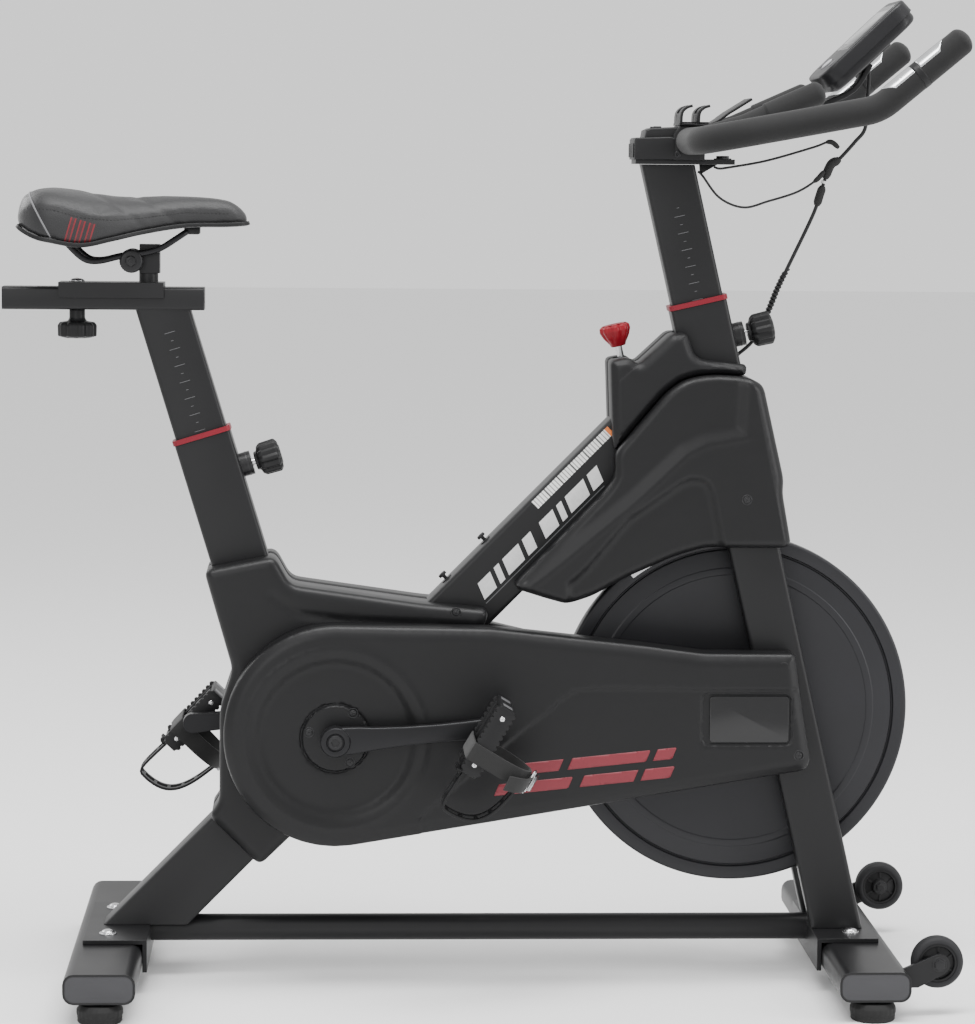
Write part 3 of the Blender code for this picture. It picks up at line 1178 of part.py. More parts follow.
def make_bar_mount():
    low, high = BAR_HEIGHT - MOUNT_BOTTOM, BAR_HEIGHT + MOUNT_TOP
    plate = block((X_BAR - 0.061, -0.030, low), (X_BAR + 0.053, 0.030, low + MOUNT_PLATE))
    mount = publish("bar_mount", plate, RUBBER, 0.5)
    body = [from_bar(-MOUNT_REAR, -MOUNT_BOTTOM + 0.004), from_bar(MOUNT_FRONT, -MOUNT_BOTTOM + 0.004),
            from_bar(MOUNT_FRONT, MOUNT_TOP), from_bar(-MOUNT_REAR + 0.016, MOUNT_TOP - 0.003),
            from_bar(-MOUNT_REAR + 0.012, 0.004), from_bar(-MOUNT_REAR, 0.002)]
    join(mount, slab(body, -MOUNT_HALF_WIDTH, MOUNT_HALF_WIDTH))
    cut(mount, across(bore(BAR_RADIUS, 28), (X_BAR, BAR_HEIGHT), -0.05, 0.05, 28))
    arm = ribbon([from_bar(MOUNT_FRONT - 0.002, -0.004), from_bar(0.075, 0.002), from_bar(0.150, 0.040),
                  from_bar(0.190, 0.060), from_bar(0.212, 0.093)], 0.006)
    join(mount, slab(arm, -0.016, 0.016))
    foot = prism(0.050, 0.036, -CONSOLE_THICKNESS / 2 - GAP - 0.004, -CONSOLE_THICKNESS / 2 - GAP,
                 console_place())
    join(mount, foot)
    gusset_x = HEAD.x_at(low - 0.013) + POST_DEPTH / 2 / cos(HEAD_ANGLE) + 0.001 - X_BAR
    gusset = [from_bar(gusset_x, -MOUNT_BOTTOM + 0.001), from_bar(gusset_x, -MOUNT_BOTTOM - 0.012),
              from_bar(gusset_x + 0.024, -MOUNT_BOTTOM + 0.001)]
    join(mount, slab(gusset, -0.004, 0.004))


def make_tablet_rest():
    base = MOUNT_TOP + GAP
    rest = publish("tablet_rest", slab([from_bar(-0.012, base), from_bar(0.0265, base),
                                        from_bar(0.072, base + 0.0295), from_bar(0.070, base + 0.0320),
                                        from_bar(0.024, base + 0.003), from_bar(-0.012, base + 0.003)],
                                       -0.036, 0.036), RUBBER, 0.55)
    for ahead in (-0.010, 0.010):
        hook = ribbon([from_bar(ahead, base + 0.001), from_bar(ahead + 0.001, base + 0.014),
                       from_bar(ahead + 0.006, base + 0.020), from_bar(ahead + 0.013, base + 0.0225)], 0.003)
        join(rest, slab(hook, -0.036, 0.036))


def make_console():
    place = console_place()
    half = CONSOLE_THICKNESS / 2
    console = publish("console", prism(CONSOLE_LENGTH, CONSOLE_WIDTH, -half, half, place, 0.022, 5),
                      RUBBER, 0.45)
    spot_m = place @ Matrix.Translation((-BUTTON_DOWN, 0, 0))
    top = spot_m @ Vector((0, 0, half + 0.01))
    floor = spot_m @ Vector((0, 0, half - BUTTON_DEPTH))
    cut(console, rod(bore(BUTTON_RADIUS, 20), floor, top, 20))
    publish("console_button", rod(BUTTON_RADIUS, spot_m @ Vector((0, 0, half - BUTTON_DEPTH + 0.0018)),
                                  spot_m @ Vector((0, 0, half + BUTTON_PROUD)), 20), (0.4, 0.4, 0.4), 0.5,
            pivot=floor)


def make_cables():
    for name, route, radius, per_span in (("console_cable", CONSOLE_CABLE, CONSOLE_CABLE_RADIUS, 2),
                                          ("pulse_wire_upper", PULSE_WIRE_UPPER, PULSE_WIRE_RADIUS, 3),
                                          ("pulse_wire_lower", PULSE_WIRE_LOWER, PULSE_WIRE_RADIUS, 3)):
        route = [(X_BAR + x, y, BAR_HEIGHT + z) for x, y, z in route]
        publish(name, wire(smoothed(route, per_span), radius, 2), RUBBER, 0.6)


def make_handlebar_parts():
    make_bar_post()
    make_pull_pin("bar", HEAD, HEAD_COLLAR_UP)
    make_handlebar()
    make_bar_mount()
    make_tablet_rest()
    make_console()
    make_cables()


make_floor_parts()
make_frame()
make_covers()
make_drive()
make_brake()
make_seat()
make_handlebar_parts()
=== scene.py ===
"""Looks of the indoor spin bike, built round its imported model. Metres, +Z up, +X ahead, -Y the drive side."""
import bmesh
import bpy
import json
import numpy as np
from math import ceil, cos, pi, radians, sin, sqrt, tan
from mathutils import Matrix, Vector
from mathutils.bvhtree import BVHTree
from mathutils.geometry import delaunay_2d_cdt


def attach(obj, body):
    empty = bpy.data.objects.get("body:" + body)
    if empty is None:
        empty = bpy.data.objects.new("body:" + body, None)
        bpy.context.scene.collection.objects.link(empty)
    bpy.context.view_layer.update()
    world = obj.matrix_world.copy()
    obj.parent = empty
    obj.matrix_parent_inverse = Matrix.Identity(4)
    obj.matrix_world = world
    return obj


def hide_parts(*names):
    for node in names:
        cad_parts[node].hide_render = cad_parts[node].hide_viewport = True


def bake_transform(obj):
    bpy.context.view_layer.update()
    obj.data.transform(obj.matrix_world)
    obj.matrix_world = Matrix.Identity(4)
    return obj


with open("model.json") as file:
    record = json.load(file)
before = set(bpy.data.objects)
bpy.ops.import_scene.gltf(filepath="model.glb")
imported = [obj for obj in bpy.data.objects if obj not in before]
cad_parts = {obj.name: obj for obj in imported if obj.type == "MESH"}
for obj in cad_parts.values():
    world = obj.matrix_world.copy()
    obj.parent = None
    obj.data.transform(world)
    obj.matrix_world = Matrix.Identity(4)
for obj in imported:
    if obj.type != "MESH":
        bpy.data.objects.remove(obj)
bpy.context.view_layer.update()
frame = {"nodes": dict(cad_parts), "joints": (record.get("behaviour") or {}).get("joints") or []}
RIGHT, LEFT = -1, 1
SIDES = (("right", RIGHT), ("left", LEFT))

# ---- places the model gives
def joint(name):
    """Where a joint turns or slides, and its direction."""
    found = next(j for j in frame["joints"] if j["name"] == name)
    return Vector(found.get("pos_m", (0, 0, 0))), Vector(found["axis"])


BRACKET, _ = joint("crank_spin")
AXLE, _ = joint("flywheel_spin")
_, SEAT_UP = joint("seat_post_height")
_, HEAD_UP = joint("handlebar_height")
TILT, _ = joint("saddle_tilt")
BAR = Vector((0.24052, 0, 0.9745))          # middle of the bar's cross tube
BEAM_UP = Vector((0.70215, 0, 0.71203))     # the main beam's direction
BEAM_FOOT = Vector((-0.15744, 0, 0.28900))  # a point on its axis, by the bracket
SCALE_END = (BEAM_FOOT + BEAM_UP * 0.466).dot(BEAM_UP)  # where the beam's scale turns orange
PANEL_AT, PANEL_LEAN = -0.072, 0.55         # the saddle's rear panel is where ahead + lean * up < at
CRANK_LENGTH, CRANK_TURN = 0.170, radians(5)
CRANK_INSIDE, PEDAL_OUT = 0.104, 0.1645  # distances of the crank's inner face and the pedal from the middle
WHEEL_AT = Vector((0.5145, 0.205, 0.059))  # a transport wheel's middle, on the left side
FOOT_OUT = 0.23


# ---- camera, light and floor
def make_camera():
    data = bpy.data.cameras.new("camera")
    data.lens, data.sensor_width = 121.36, 36
    camera = bpy.data.objects.new("camera", data)
    bpy.context.scene.collection.objects.link(camera)
    right = Vector((0.99888, -0.04649, 0.00822))
    up = Vector((-0.00349, 0.10105, 0.99488))
    ahead = Vector((0.04709, 0.99379, -0.10077))
    turn = Matrix((right, up, -ahead)).transposed()
    camera.matrix_world = Matrix.Translation((-0.1745, -3.987, 0.9485)) @ turn.to_4x4()
    bpy.context.scene.camera = camera


def soft_light(name, place, target, size, power):
    data = bpy.data.lights.new(name, "AREA")
    data.shape, data.size, data.size_y, data.energy = "RECTANGLE", size[0], size[1], power
    lamp = bpy.data.objects.new(name, data)
    lamp.location = place
    lamp.rotation_euler = (Vector(target) - Vector(place)).to_track_quat("-Z", "Y").to_euler()
    bpy.context.scene.collection.objects.link(lamp)


def make_light():
    world = bpy.data.worlds.new("studio")
    bpy.context.scene.world = world
    world.use_nodes = True
    background = world.node_tree.nodes["Background"]
    background.inputs["Color"].default_value = (1, 1, 1, 1)
    background.inputs["Strength"].default_value = 1.15
    soft_light("overhead", (0.2, -0.6, 3.2), (0, 0, 0.5), (3.2, 1.0), 150)
    soft_light("front_fill", (-1.6, -3.4, 1.9), (0, 0, 0.55), (1.0, 2.2), 34)
    soft_light("ahead", (3.0, -1.4, 1.5), (0.1, 0, 0.6), (0.8, 2.2), 52)
    soft_light("behind", (-2.4, 2.0, 2.2), (0, 0, 0.6), (1.6, 1.6), 30)


def make_floor():
    mesh = bpy.data.meshes.new("floor")
    mesh.from_pydata([(-14, -9, 0), (14, -9, 0), (14, 22, 0), (-14, 22, 0)], [], [(0, 1, 2, 3)])
    floor = bpy.data.objects.new("floor", mesh)
    bpy.context.scene.collection.objects.link(floor)
    paint = bpy.data.materials.new("floor_paint")
    paint.use_nodes = True
    shader = paint.node_tree.nodes["Principled BSDF"]
    shader.inputs["Base Color"].default_value = (0.86, 0.86, 0.86, 1)
    shader.inputs["Roughness"].default_value = 0.9
    mesh.materials.append(paint)


make_camera()
make_light()
make_floor()


# ---- finishes
class Value:
    """A socket's value: arithmetic on it adds the nodes that work it out."""

    def __init__(self, finish, socket):
        self.finish, self.socket = finish, socket

    def maths(self, operation, *others, clamp=False):
        settings = {"operation": operation, "use_clamp": clamp}
        return self.finish.node("ShaderNodeMath", settings, dict(enumerate((self, *others))))

    def __add__(self, other):
        return self.maths("ADD", other)

    __radd__ = __add__

    def __mul__(self, other):
        return self.maths("MULTIPLY", other)

    __rmul__ = __mul__

    def __sub__(self, other):
        return self.maths("SUBTRACT", other)

    def __rsub__(self, other):
        return (self * -1) + other

    def __truediv__(self, other):
        return self.maths("DIVIDE", other)

    def __abs__(self):
        return self.maths("ABSOLUTE")

    def __lt__(self, other):
        return self.maths("LESS_THAN", other)

    def __gt__(self, other):
        return self.maths("GREATER_THAN", other)

    def held(self):
        return self.maths("ADD", 0.0, clamp=True)

    def fraction(self):
        return self.maths("FRACT")

    def wave(self):
        return self.maths("SINE")

    def root(self):
        return self.maths("SQRT")


class Finish:
    """A material with one Principled shader; constants go on the shader's own sockets."""

    def __init__(self, name, colour, roughness, metallic=0.0, **constants):
        self.material = bpy.data.materials.new(name)
        self.material.use_nodes = True
        self.tree = self.material.node_tree
        self.shader = self.tree.nodes["Principled BSDF"]
        self.colour = (*colour, 1)
        self.material.diffuse_color = self.colour
        constants = {key.replace("_", " ").title().replace("Ior", "IOR"): value
                     for key, value in constants.items()}
        constants.update({"Base Color": self.colour, "Roughness": roughness, "Metallic": metallic})
        for socket, value in constants.items():
            self.shader.inputs[socket].default_value = value

    def node(self, kind, settings=None, inputs=None, output=0):
        """Any node: its type, its settings, then its sockets' values or links; gives one output."""
        made = self.tree.nodes.new(kind)
        for key, value in (settings or {}).items():
            setattr(made, key, value)
        for key, value in (inputs or {}).items():
            if isinstance(value, Value):
                self.tree.links.new(value.socket, made.inputs[key])
            else:
                made.inputs[key].default_value = value
        return Value(self, made.outputs[output])

    def feed(self, socket, value):
        self.tree.links.new(value.socket, self.shader.inputs[socket])

    def point(self, stretch=(1, 1, 1)):
        """The surface's own coordinates, stretched."""
        here = self.node("ShaderNodeTexCoord", output="Object")
        return self.node("ShaderNodeMapping", None, {"Vector": here, "Scale": stretch})

    def axis(self, index):
        return self.node("ShaderNodeSeparateXYZ", None, {0: self.point()}, index)

    def noise(self, scale, detail=2.0, rough=0.5, stretch=(1, 1, 1)):
        inputs = {"Vector": self.point(stretch), "Scale": scale, "Detail": detail, "Roughness": rough}
        return self.node("ShaderNodeTexNoise", None, inputs)

    def cells(self, scale):
        """Distance from the walls of small cells."""
        return self.node("ShaderNodeTexVoronoi", {"feature": "DISTANCE_TO_EDGE"},
                         {"Vector": self.point(), "Scale": scale}, "Distance")

    def mix(self, share, low, high):
        """A colour between two colours."""
        return self.node("ShaderNodeMix", {"data_type": "RGBA"}, {0: share, 6: low, 7: high}, 2)

    def tinted(self, share, other, onto=None):
        return self.mix(share, onto or self.colour, (*other, 1))

    def soft_edge(self, radius):
        return self.node("ShaderNodeBevel", {"samples": 4}, {"Radius": radius})

    def edge_mask(self, radius, gain):
        """1 along the edges of the shape, 0 on its faces."""
        flat = self.node("ShaderNodeNewGeometry", output="Normal")
        same = self.node("ShaderNodeVectorMath", {"operation": "DOT_PRODUCT"},
                         {0: self.soft_edge(radius), 1: flat}, "Value")
        return ((1 - same) * gain).held()

    def bump(self, height, depth, strength=1.0, radius=0.0):
        inputs = {"Height": height, "Distance": depth, "Strength": strength}
        if radius:
            inputs["Normal"] = self.soft_edge(radius)
        self.feed("Normal", self.node("ShaderNodeBump", None, inputs))


def painted(name, colour, roughness, edge=0.0012, metallic=0.0):
    """Powder coat: a fine orange peel, cloudy gloss, and a painted highlight along the edges."""
    paint = Finish(name, colour, roughness, metallic, specular_ior_level=0.26)
    cloud = paint.noise(9, 3)
    peel = paint.noise(750, 2, 0.55)
    # painted highlight: the base colour is lightened along the edges, broken up in patches
    wear_and_edge_highlight = paint.edge_mask(edge, 2.4) * (0.35 + 0.65 * paint.noise(60, 3))
    light = tuple(c * 2.2 + 0.012 for c in colour)
    paint.feed("Base Color", paint.tinted(wear_and_edge_highlight, light, paint.tinted(cloud, tuple(c * 1.35 for c in colour))))
    paint.feed("Roughness", roughness - 0.06 + cloud * 0.12 + peel * 0.05)
    paint.bump(peel, 0.00006, 0.5, edge)
    return paint.material


def moulded_plastic(name, colour, roughness, grain=1100, depth=0.00007, edge=0.0, shine=0.20):
    """Moulded plastic: fine spark-eroded grain, with handling marks in its gloss."""
    plastic = Finish(name, colour, roughness, specular_ior_level=shine)
    cloud = plastic.noise(6, 4)
    speck = plastic.noise(grain, 3, 0.6)
    rub = plastic.noise(24, 5, 0.65, (1, 1, 3))
    shade = (cloud * 0.6 + rub * 0.4).held()
    plastic.feed("Base Color", plastic.mix(shade, tuple(c * 0.82 for c in colour) + (1,),
                                           tuple(c * 1.25 for c in colour) + (1,)))
    plastic.feed("Roughness", roughness - 0.07 + rub * 0.1 + speck * 0.06)
    plastic.bump(speck, depth, 0.6, edge)
    return plastic.material


def bare_metal(name, colour, roughness, stretch=(1, 1, 1), edge=0.0008):
    metal = Finish(name, colour, roughness, 1.0)
    scratch = metal.noise(260, 4, 0.6, stretch)
    metal.feed("Roughness", roughness - 0.05 + scratch * 0.14)
    metal.feed("Base Color", metal.tinted(metal.noise(35, 3), tuple(c * 0.72 for c in colour)))
    metal.bump(scratch, 0.00003, 0.35, edge)
    return metal.material


def rubbery(name, colour, roughness, scale=500, depth=0.0001):
    rubber = Finish(name, colour, roughness, specular_ior_level=0.2)
    dust = rubber.noise(30, 5, 0.65)
    speck = rubber.noise(scale, 3, 0.65)
    rubber.feed("Base Color", rubber.tinted(dust * 0.7, tuple(c * 1.7 + 0.008 for c in colour)))
    rubber.feed("Roughness", roughness + dust * 0.12 - 0.06)
    rubber.bump(speck, depth, 0.7)
    return rubber.material


def turned_iron():
    """Flywheel: dark satin paint over turned rings that run round the axle."""
    iron = Finish("flywheel_paint", (0.011, 0.011, 0.012), 0.36, 0.2, specular_ior_level=0.3)
    x, z = iron.axis(0) - AXLE.x, iron.axis(2) - AXLE.z
    reach = (x * x + z * z).root()
    rings = iron.node("ShaderNodeTexNoise", {"noise_dimensions": "1D"},
                      {"W": reach * 1400, "Scale": 1.0, "Detail": 3.0})
    cloud = iron.noise(11, 4)
    iron.feed("Base Color", iron.tinted(cloud * 0.6 + rings * 0.4, (0.020, 0.020, 0.023)))
    iron.feed("Roughness", 0.30 + rings * 0.1 + cloud * 0.08)
    iron.bump(rings, 0.00004, 0.4)
    return iron.material


def saddle_leather():
    """Grained synthetic leather, glossier on the rear panel, with slanting red stripes low on each side."""
    hide = Finish("saddle_cover", (0.010, 0.010, 0.0105), 0.42, specular_ior_level=0.35, sheen_weight=0.05)
    grain = hide.cells(620)
    pores = hide.noise(1500, 2)
    x, y, z = (hide.axis(k) for k in range(3))
    along = x - TILT.x
    rise = z - TILT.z
    panel = (along + rise * PANEL_LEAN) < PANEL_AT
    slant = (along - rise * 0.30 + 0.0790) / 0.0112
    part = slant.fraction()
    edge = (part < 0.62) * ((part < 0.15) + (part > 0.47) + 0.18).held()
    stripe = edge * (slant > 0) * (slant < 3)
    band = (rise > 0.016) * (rise + along * 0.30 < 0.0315)
    wide = (abs(y) > 0.045)
    marks = stripe * band * wide
    cloud = hide.noise(14, 4)
    dark = hide.tinted(cloud, (0.018, 0.018, 0.019))
    hide.feed("Base Color", hide.tinted(marks, (0.15, 0.008, 0.014), dark))
    hide.feed("Roughness", 0.46 - panel * 0.26 + cloud * 0.08 - marks * 0.1)
    hide.bump(grain * 3 + pores * 0.4, 0.00016, 0.55)
    return hide.material


def foam_grip():
    foam = Finish("foam_grip", (0.008, 0.008, 0.008), 0.86, specular_ior_level=0.2, sheen_weight=0.08)
    cell = foam.noise(900, 4, 0.7)
    wear_and_edge_highlight = foam.noise(18, 4)
    foam.feed("Base Color", foam.tinted(cell * 0.5 + wear_and_edge_highlight * 0.4, (0.019, 0.019, 0.0195)))
    foam.feed("Roughness", 0.78 + cell * 0.12)
    foam.bump(cell, 0.0003, 0.8)
    return foam.material


def ruled_scale():
    """White strip with black tick marks across it, and an orange end."""
    strip = Finish("ruled_scale", (0.74, 0.74, 0.73), 0.45)
    up = strip.axis(0) * BEAM_UP.x + strip.axis(2) * BEAM_UP.z
    fine = ((up / 0.0042).fraction() < 0.28) * 0.75
    bold = (up / 0.0210).fraction() < 0.09
    end = up > SCALE_END
    marks = (fine + bold).held()
    shown = strip.tinted(marks, (0.05, 0.05, 0.05), strip.tinted(strip.noise(120, 3) * 0.3, (0.5, 0.5, 0.48)))
    strip.feed("Base Color", strip.tinted(end, (0.62, 0.16, 0.03), shown))
    strip.feed("Roughness", 0.4 + strip.noise(90) * 0.2)
    return strip.material


def printed(name, colour):
    """A printed transfer, a little worn."""
    ink = Finish(name, colour, 0.5)
    wear_and_edge_highlight = ink.noise(300, 5, 0.7) * ink.noise(25, 3)
    ink.feed("Base Color", ink.tinted((wear_and_edge_highlight * 1.3).held(), tuple(c * 0.55 for c in colour)))
    ink.feed("Roughness", 0.42 + wear_and_edge_highlight * 0.3)
    return ink.material


def webbing():
    """Woven strap: ribs across it."""
    web = Finish("strap_webbing", (0.010, 0.010, 0.010), 0.8, specular_ior_level=0.2, sheen_weight=0.1)
    rib = (web.axis(0) * 3200).wave() * (web.axis(2) * 3200).wave() * 0.5 + 0.5
    fluff = web.noise(900, 4, 0.7)
    web.feed("Base Color", web.tinted(rib * 0.6 + fluff * 0.3, (0.026, 0.026, 0.026)))
    web.feed("Roughness", 0.72 + fluff * 0.15)
    web.bump(rib + fluff * 0.3, 0.0002, 0.8)
    return web.material


def glass_screen():
    screen = Finish("screen", (0.006, 0.007, 0.008), 0.08, coat_weight=0.6, coat_roughness=0.04)
    smear = screen.noise(20, 5, 0.7)
    screen.feed("Roughness", 0.05 + smear * 0.12)
    screen.feed("Base Color", screen.tinted(smear * 0.5, (0.014, 0.016, 0.018)))
    return screen.material


POWDER_COAT = painted("powder_coat", (0.0065, 0.0065, 0.0070), 0.38)
SMALL_STEEL = painted("black_steel", (0.010, 0.010, 0.0108), 0.36, 0.0008)
CRANK_BLACK = painted("crank_black", (0.011, 0.011, 0.012), 0.30, 0.0012, 0.4)
COVER_PLASTIC = moulded_plastic("cover_plastic", (0.0060, 0.0060, 0.0065), 0.40, shine=0.24)
HEAD_PLASTIC = moulded_plastic("head_plastic", (0.0072, 0.0072, 0.0078), 0.46, shine=0.22)
BLACK_PLASTIC = moulded_plastic("black_plastic", (0.009, 0.009, 0.0095), 0.42, 900, 0.00006)
CONSOLE_CASE = moulded_plastic("console_case", (0.012, 0.012, 0.013), 0.36, 1500, 0.00003)
GLOSS_BLACK = moulded_plastic("gloss_black", (0.007, 0.007, 0.0075), 0.16, 1500, 0.00001, 0.0, 0.4)
CAP_GREY = moulded_plastic("cap_grey", (0.045, 0.045, 0.048), 0.42, 900, 0.00006)
COLLAR_RED = moulded_plastic("collar_red", (0.155, 0.010, 0.018), 0.42, 900, 0.00004)
KNOB_RED = moulded_plastic("knob_red", (0.19, 0.006, 0.012), 0.34, 1300, 0.00003)
BUTTON_GREY = moulded_plastic("button_grey", (0.32, 0.32, 0.33), 0.40, 1300, 0.00003)
BRIGHT_STEEL = bare_metal("bright_steel", (0.66, 0.66, 0.67), 0.20)
PULLEY_METAL = bare_metal("pulley_metal", (0.42, 0.42, 0.44), 0.38)
PULSE_STEEL = bare_metal("pulse_steel", (0.70, 0.71, 0.72), 0.24, (1, 6, 1))
BLACK_RUBBER = rubbery("black_rubber", (0.009, 0.009, 0.009), 0.66)
WHEEL_RUBBER = rubbery("wheel_rubber", (0.011, 0.011, 0.012), 0.60, 700, 0.00006)
CABLE_SHEATH = rubbery("cable_sheath", (0.008, 0.008, 0.0085), 0.44, 1400, 0.00003)
FLYWHEEL_PAINT = turned_iron()
SADDLE_COVER = saddle_leather()
FOAM_GRIP = foam_grip()
RULED_SCALE = ruled_scale()
WHITE_PRINT = printed("white_print", (0.66, 0.66, 0.66))
GREY_PRINT = printed("grey_print", (0.10, 0.10, 0.105))
RED_PRINT = printed("red_print", (0.17, 0.008, 0.018))
STRAP_WEBBING = webbing()
SCREEN_GLASS = glass_screen()


# ---- shapes
def to_object(name, bm, material=None, smooth=40):
    """A finished mesh as an object; angles sharper than smooth stay as edges."""
    mesh = bpy.data.meshes.new(name)
    bm.to_mesh(mesh)
    bm.free()
    mesh.shade_smooth()
    mesh.set_sharp_from_angle(angle=radians(smooth))
    obj = bpy.data.objects.new(name, mesh)
    bpy.context.scene.collection.objects.link(obj)
    if material is not None:
        mesh.materials.append(material)
    return obj


def frame_along(direction, place=(0, 0, 0)):
    """Local +Z onto a direction, local Y kept across the bike where it can be."""
    up = Vector(direction).normalized()
    across = Vector((0, 1, 0)) if abs(up.y) < 0.9 else Vector((1, 0, 0))
    ahead = across.cross(up).normalized()
    return Matrix.Translation(place) @ Matrix((ahead, up.cross(ahead), up)).transposed().to_4x4()


def turned(bm, profile, place, sides=48, flutes=0, depth=0.0, flute_from=0.0):
    """Adds a profile of (radius, height) turned about local Z; flutes scallop its outer radius."""
    rings = []
    for radius, height in profile:
        if radius <= 0:
            rings.append([bm.verts.new(place @ Vector((0, 0, height)))])
            continue
        ring = []
        for k in range(sides):
            a = 2 * pi * k / sides
            r = radius
            if flutes and radius > flute_from:
                r -= depth * (0.5 - 0.5 * cos(a * flutes)) ** 1.6
            ring.append(bm.verts.new(place @ Vector((r * cos(a), r * sin(a), height))))
        rings.append(ring)
    for a, b in zip(rings, rings[1:]):
        for k in range(sides):
            n = (k + 1) % sides
            if len(a) == 1 and len(b) > 1:
                bm.faces.new((a[0], b[n], b[k]))
            elif len(b) == 1 and len(a) > 1:
                bm.faces.new((a[k], a[n], b[0]))
            elif len(a) > 1:
                bm.faces.new((a[k], a[n], b[n], b[k]))
    return rings


def bridge(bm, rings, caps=True):
    """Joins closed rings of points one after another, and closes the two ends."""
    for a, b in zip(rings, rings[1:]):
        for k in range(len(a)):
            n = (k + 1) % len(a)
            bm.faces.new((a[k], a[n], b[n], b[k]))
    if caps:
        bm.faces.new(rings[0][::-1])
        bm.faces.new(rings[-1])


def rounded(profile, radius, steps=3):
    """A profile with its corners rounded."""
    points = [Vector(p) for p in profile]
    path = [profile[0]]
    for before, corner, after in zip(points, points[1:], points[2:]):
        u, v = before - corner, after - corner
        reach = min(radius, u.length * 0.45, v.length * 0.45)
        a, b = corner + u.normalized() * reach, corner + v.normalized() * reach
        for k in range(steps + 1):
            t = k / steps
            path.append(tuple(a * (1 - t) ** 2 + corner * 2 * t * (1 - t) + b * t * t))
    path.append(profile[-1])
    return path


def box(bm, low, high, place=Matrix(), bevel=0.0008, steps=2):
    """Adds a box between two corners with bevelled edges."""
    low, high = Vector(low), Vector(high)
    made = bmesh.ops.create_cube(bm, size=1.0)["verts"]
    bmesh.ops.scale(bm, vec=high - low, verts=made)
    bmesh.ops.translate(bm, vec=(low + high) / 2, verts=made)
    edges = {e for v in made for e in v.link_edges}
    if bevel:
        made = bmesh.ops.bevel(bm, geom=list(edges), offset=bevel, segments=steps, profile=0.5,
                               affect="EDGES")["verts"]
    bmesh.ops.transform(bm, matrix=place, verts=made)


def plate(bm, outline, low, high, place=Matrix(), bevel=0.0, steps=2, taper=0.0):
    """Adds a plate of a closed outline in local X and Y between two heights, top edge bevelled."""
    count = len(outline)
    if area_of(outline) < 0:
        outline = outline[::-1]
    levels = [(low, taper), (high - bevel, 0.0)]
    levels += [(high - bevel + bevel * sin(pi / 2 * k / steps), bevel * (1 - cos(pi / 2 * k / steps)))
               for k in range(1, steps + 1)] if bevel else []
    if not bevel:
        levels[-1] = (high, 0.0)
    rings = []
    for height, inset in levels:
        ring = []
        for k, point in enumerate(outline):
            before, after = Vector(outline[k - 1]), Vector(outline[(k + 1) % count])
            here = Vector(point)
            normal = (here - before).normalized() + (after - here).normalized()
            normal = Vector((-normal.y, normal.x))
            if normal.length > 1e-9:
                here = here + normal.normalized() * inset
            ring.append(bm.verts.new(place @ Vector((here.x, here.y, height))))
        rings.append(ring)
    bridge(bm, rings)


def catmull(points, per_span, closed=False):
    """A smooth curve through points, with per_span steps between each two."""
    points = [Vector(p) for p in points]
    if closed:
        ends = [points[-1], *points, points[0], points[1]]
    else:
        ends = [points[0] * 2 - points[1], *points, points[-1] * 2 - points[-2]]
    path = []
    for p0, p1, p2, p3 in zip(ends, ends[1:], ends[2:], ends[3:]):
        for k in range(per_span):
            t = k / per_span
            path.append(0.5 * (2 * p1 + (p2 - p0) * t + (2 * p0 - 5 * p1 + 4 * p2 - p3) * t ** 2
                               + (3 * p1 - p0 - 3 * p2 + p3) * t ** 3))
    return path if closed else path + [points[-1]]


def even(path, step):
    """Points spaced evenly along a path."""
    lengths = [0.0]
    for a, b in zip(path, path[1:]):
        lengths.append(lengths[-1] + (b - a).length)
    count = max(2, ceil(lengths[-1] / step))
    result, k = [], 0
    for n in range(count + 1):
        want = lengths[-1] * n / count
        while k < len(path) - 2 and lengths[k + 1] < want:
            k += 1
        span = lengths[k + 1] - lengths[k]
        result.append(path[k].lerp(path[k + 1], (want - lengths[k]) / span if span else 0))
    return result


def filleted(points, radius, steps=10):
    """A path with each inner corner rounded to a radius."""
    points = [Vector(p) for p in points]
    path = [points[0]]
    for before, corner, after in zip(points, points[1:], points[2:]):
        u, v = (before - corner).normalized(), (after - corner).normalized()
        half = u.angle(v) / 2
        centre = corner + (u + v).normalized() * (radius / sin(half))
        a, b = corner + u * (radius / tan(half)) - centre, corner + v * (radius / tan(half)) - centre
        whole = a.angle(b)
        for k in range(steps + 1):
            t = k / steps
            path.append(centre + (a * sin((1 - t) * whole) + b * sin(t * whole)) / sin(whole))
    return [*path, points[-1]]


def tube(bm, path, radius, sides=16, wide=1.0, caps=True):
    """Adds a tube along a path; radius may be a function of the share along it."""
    count = len(path)
    tangent = (path[1] - path[0]).normalized()
    side = tangent.cross((0, 0, 1))
    if side.length < 0.05:
        side = tangent.cross(Vector((1, 0, 0)))
    side.normalize()
    rings = []
    for k, point in enumerate(path):
        ahead = (path[min(k + 1, count - 1)] - path[max(k - 1, 0)]).normalized()
        side = (side - ahead * side.dot(ahead)).normalized()
        other = ahead.cross(side)
        r = radius(k / (count - 1)) if callable(radius) else radius
        rings.append([bm.verts.new(point + (side * cos(a) * wide + other * sin(a)) * r)
                      for a in (2 * pi * n / sides for n in range(sides))])
    bridge(bm, rings, caps)


def screw_head(bm, place, radius, proud):
    """Adds a pan screw head with a raised cross on it, facing local +Z."""
    turned(bm, rounded([(0, proud), (radius * 0.7, proud), (radius, proud * 0.2), (radius, -0.002)],
                       proud * 0.7), place, 24)
    for turn in (0, pi / 2):
        box(bm, (-radius * 0.55, -radius * 0.11, proud - 0.0002),
            (radius * 0.55, radius * 0.11, proud + 0.00012),
            place @ Matrix.Rotation(turn + 0.4, 4, "Z"), 0)


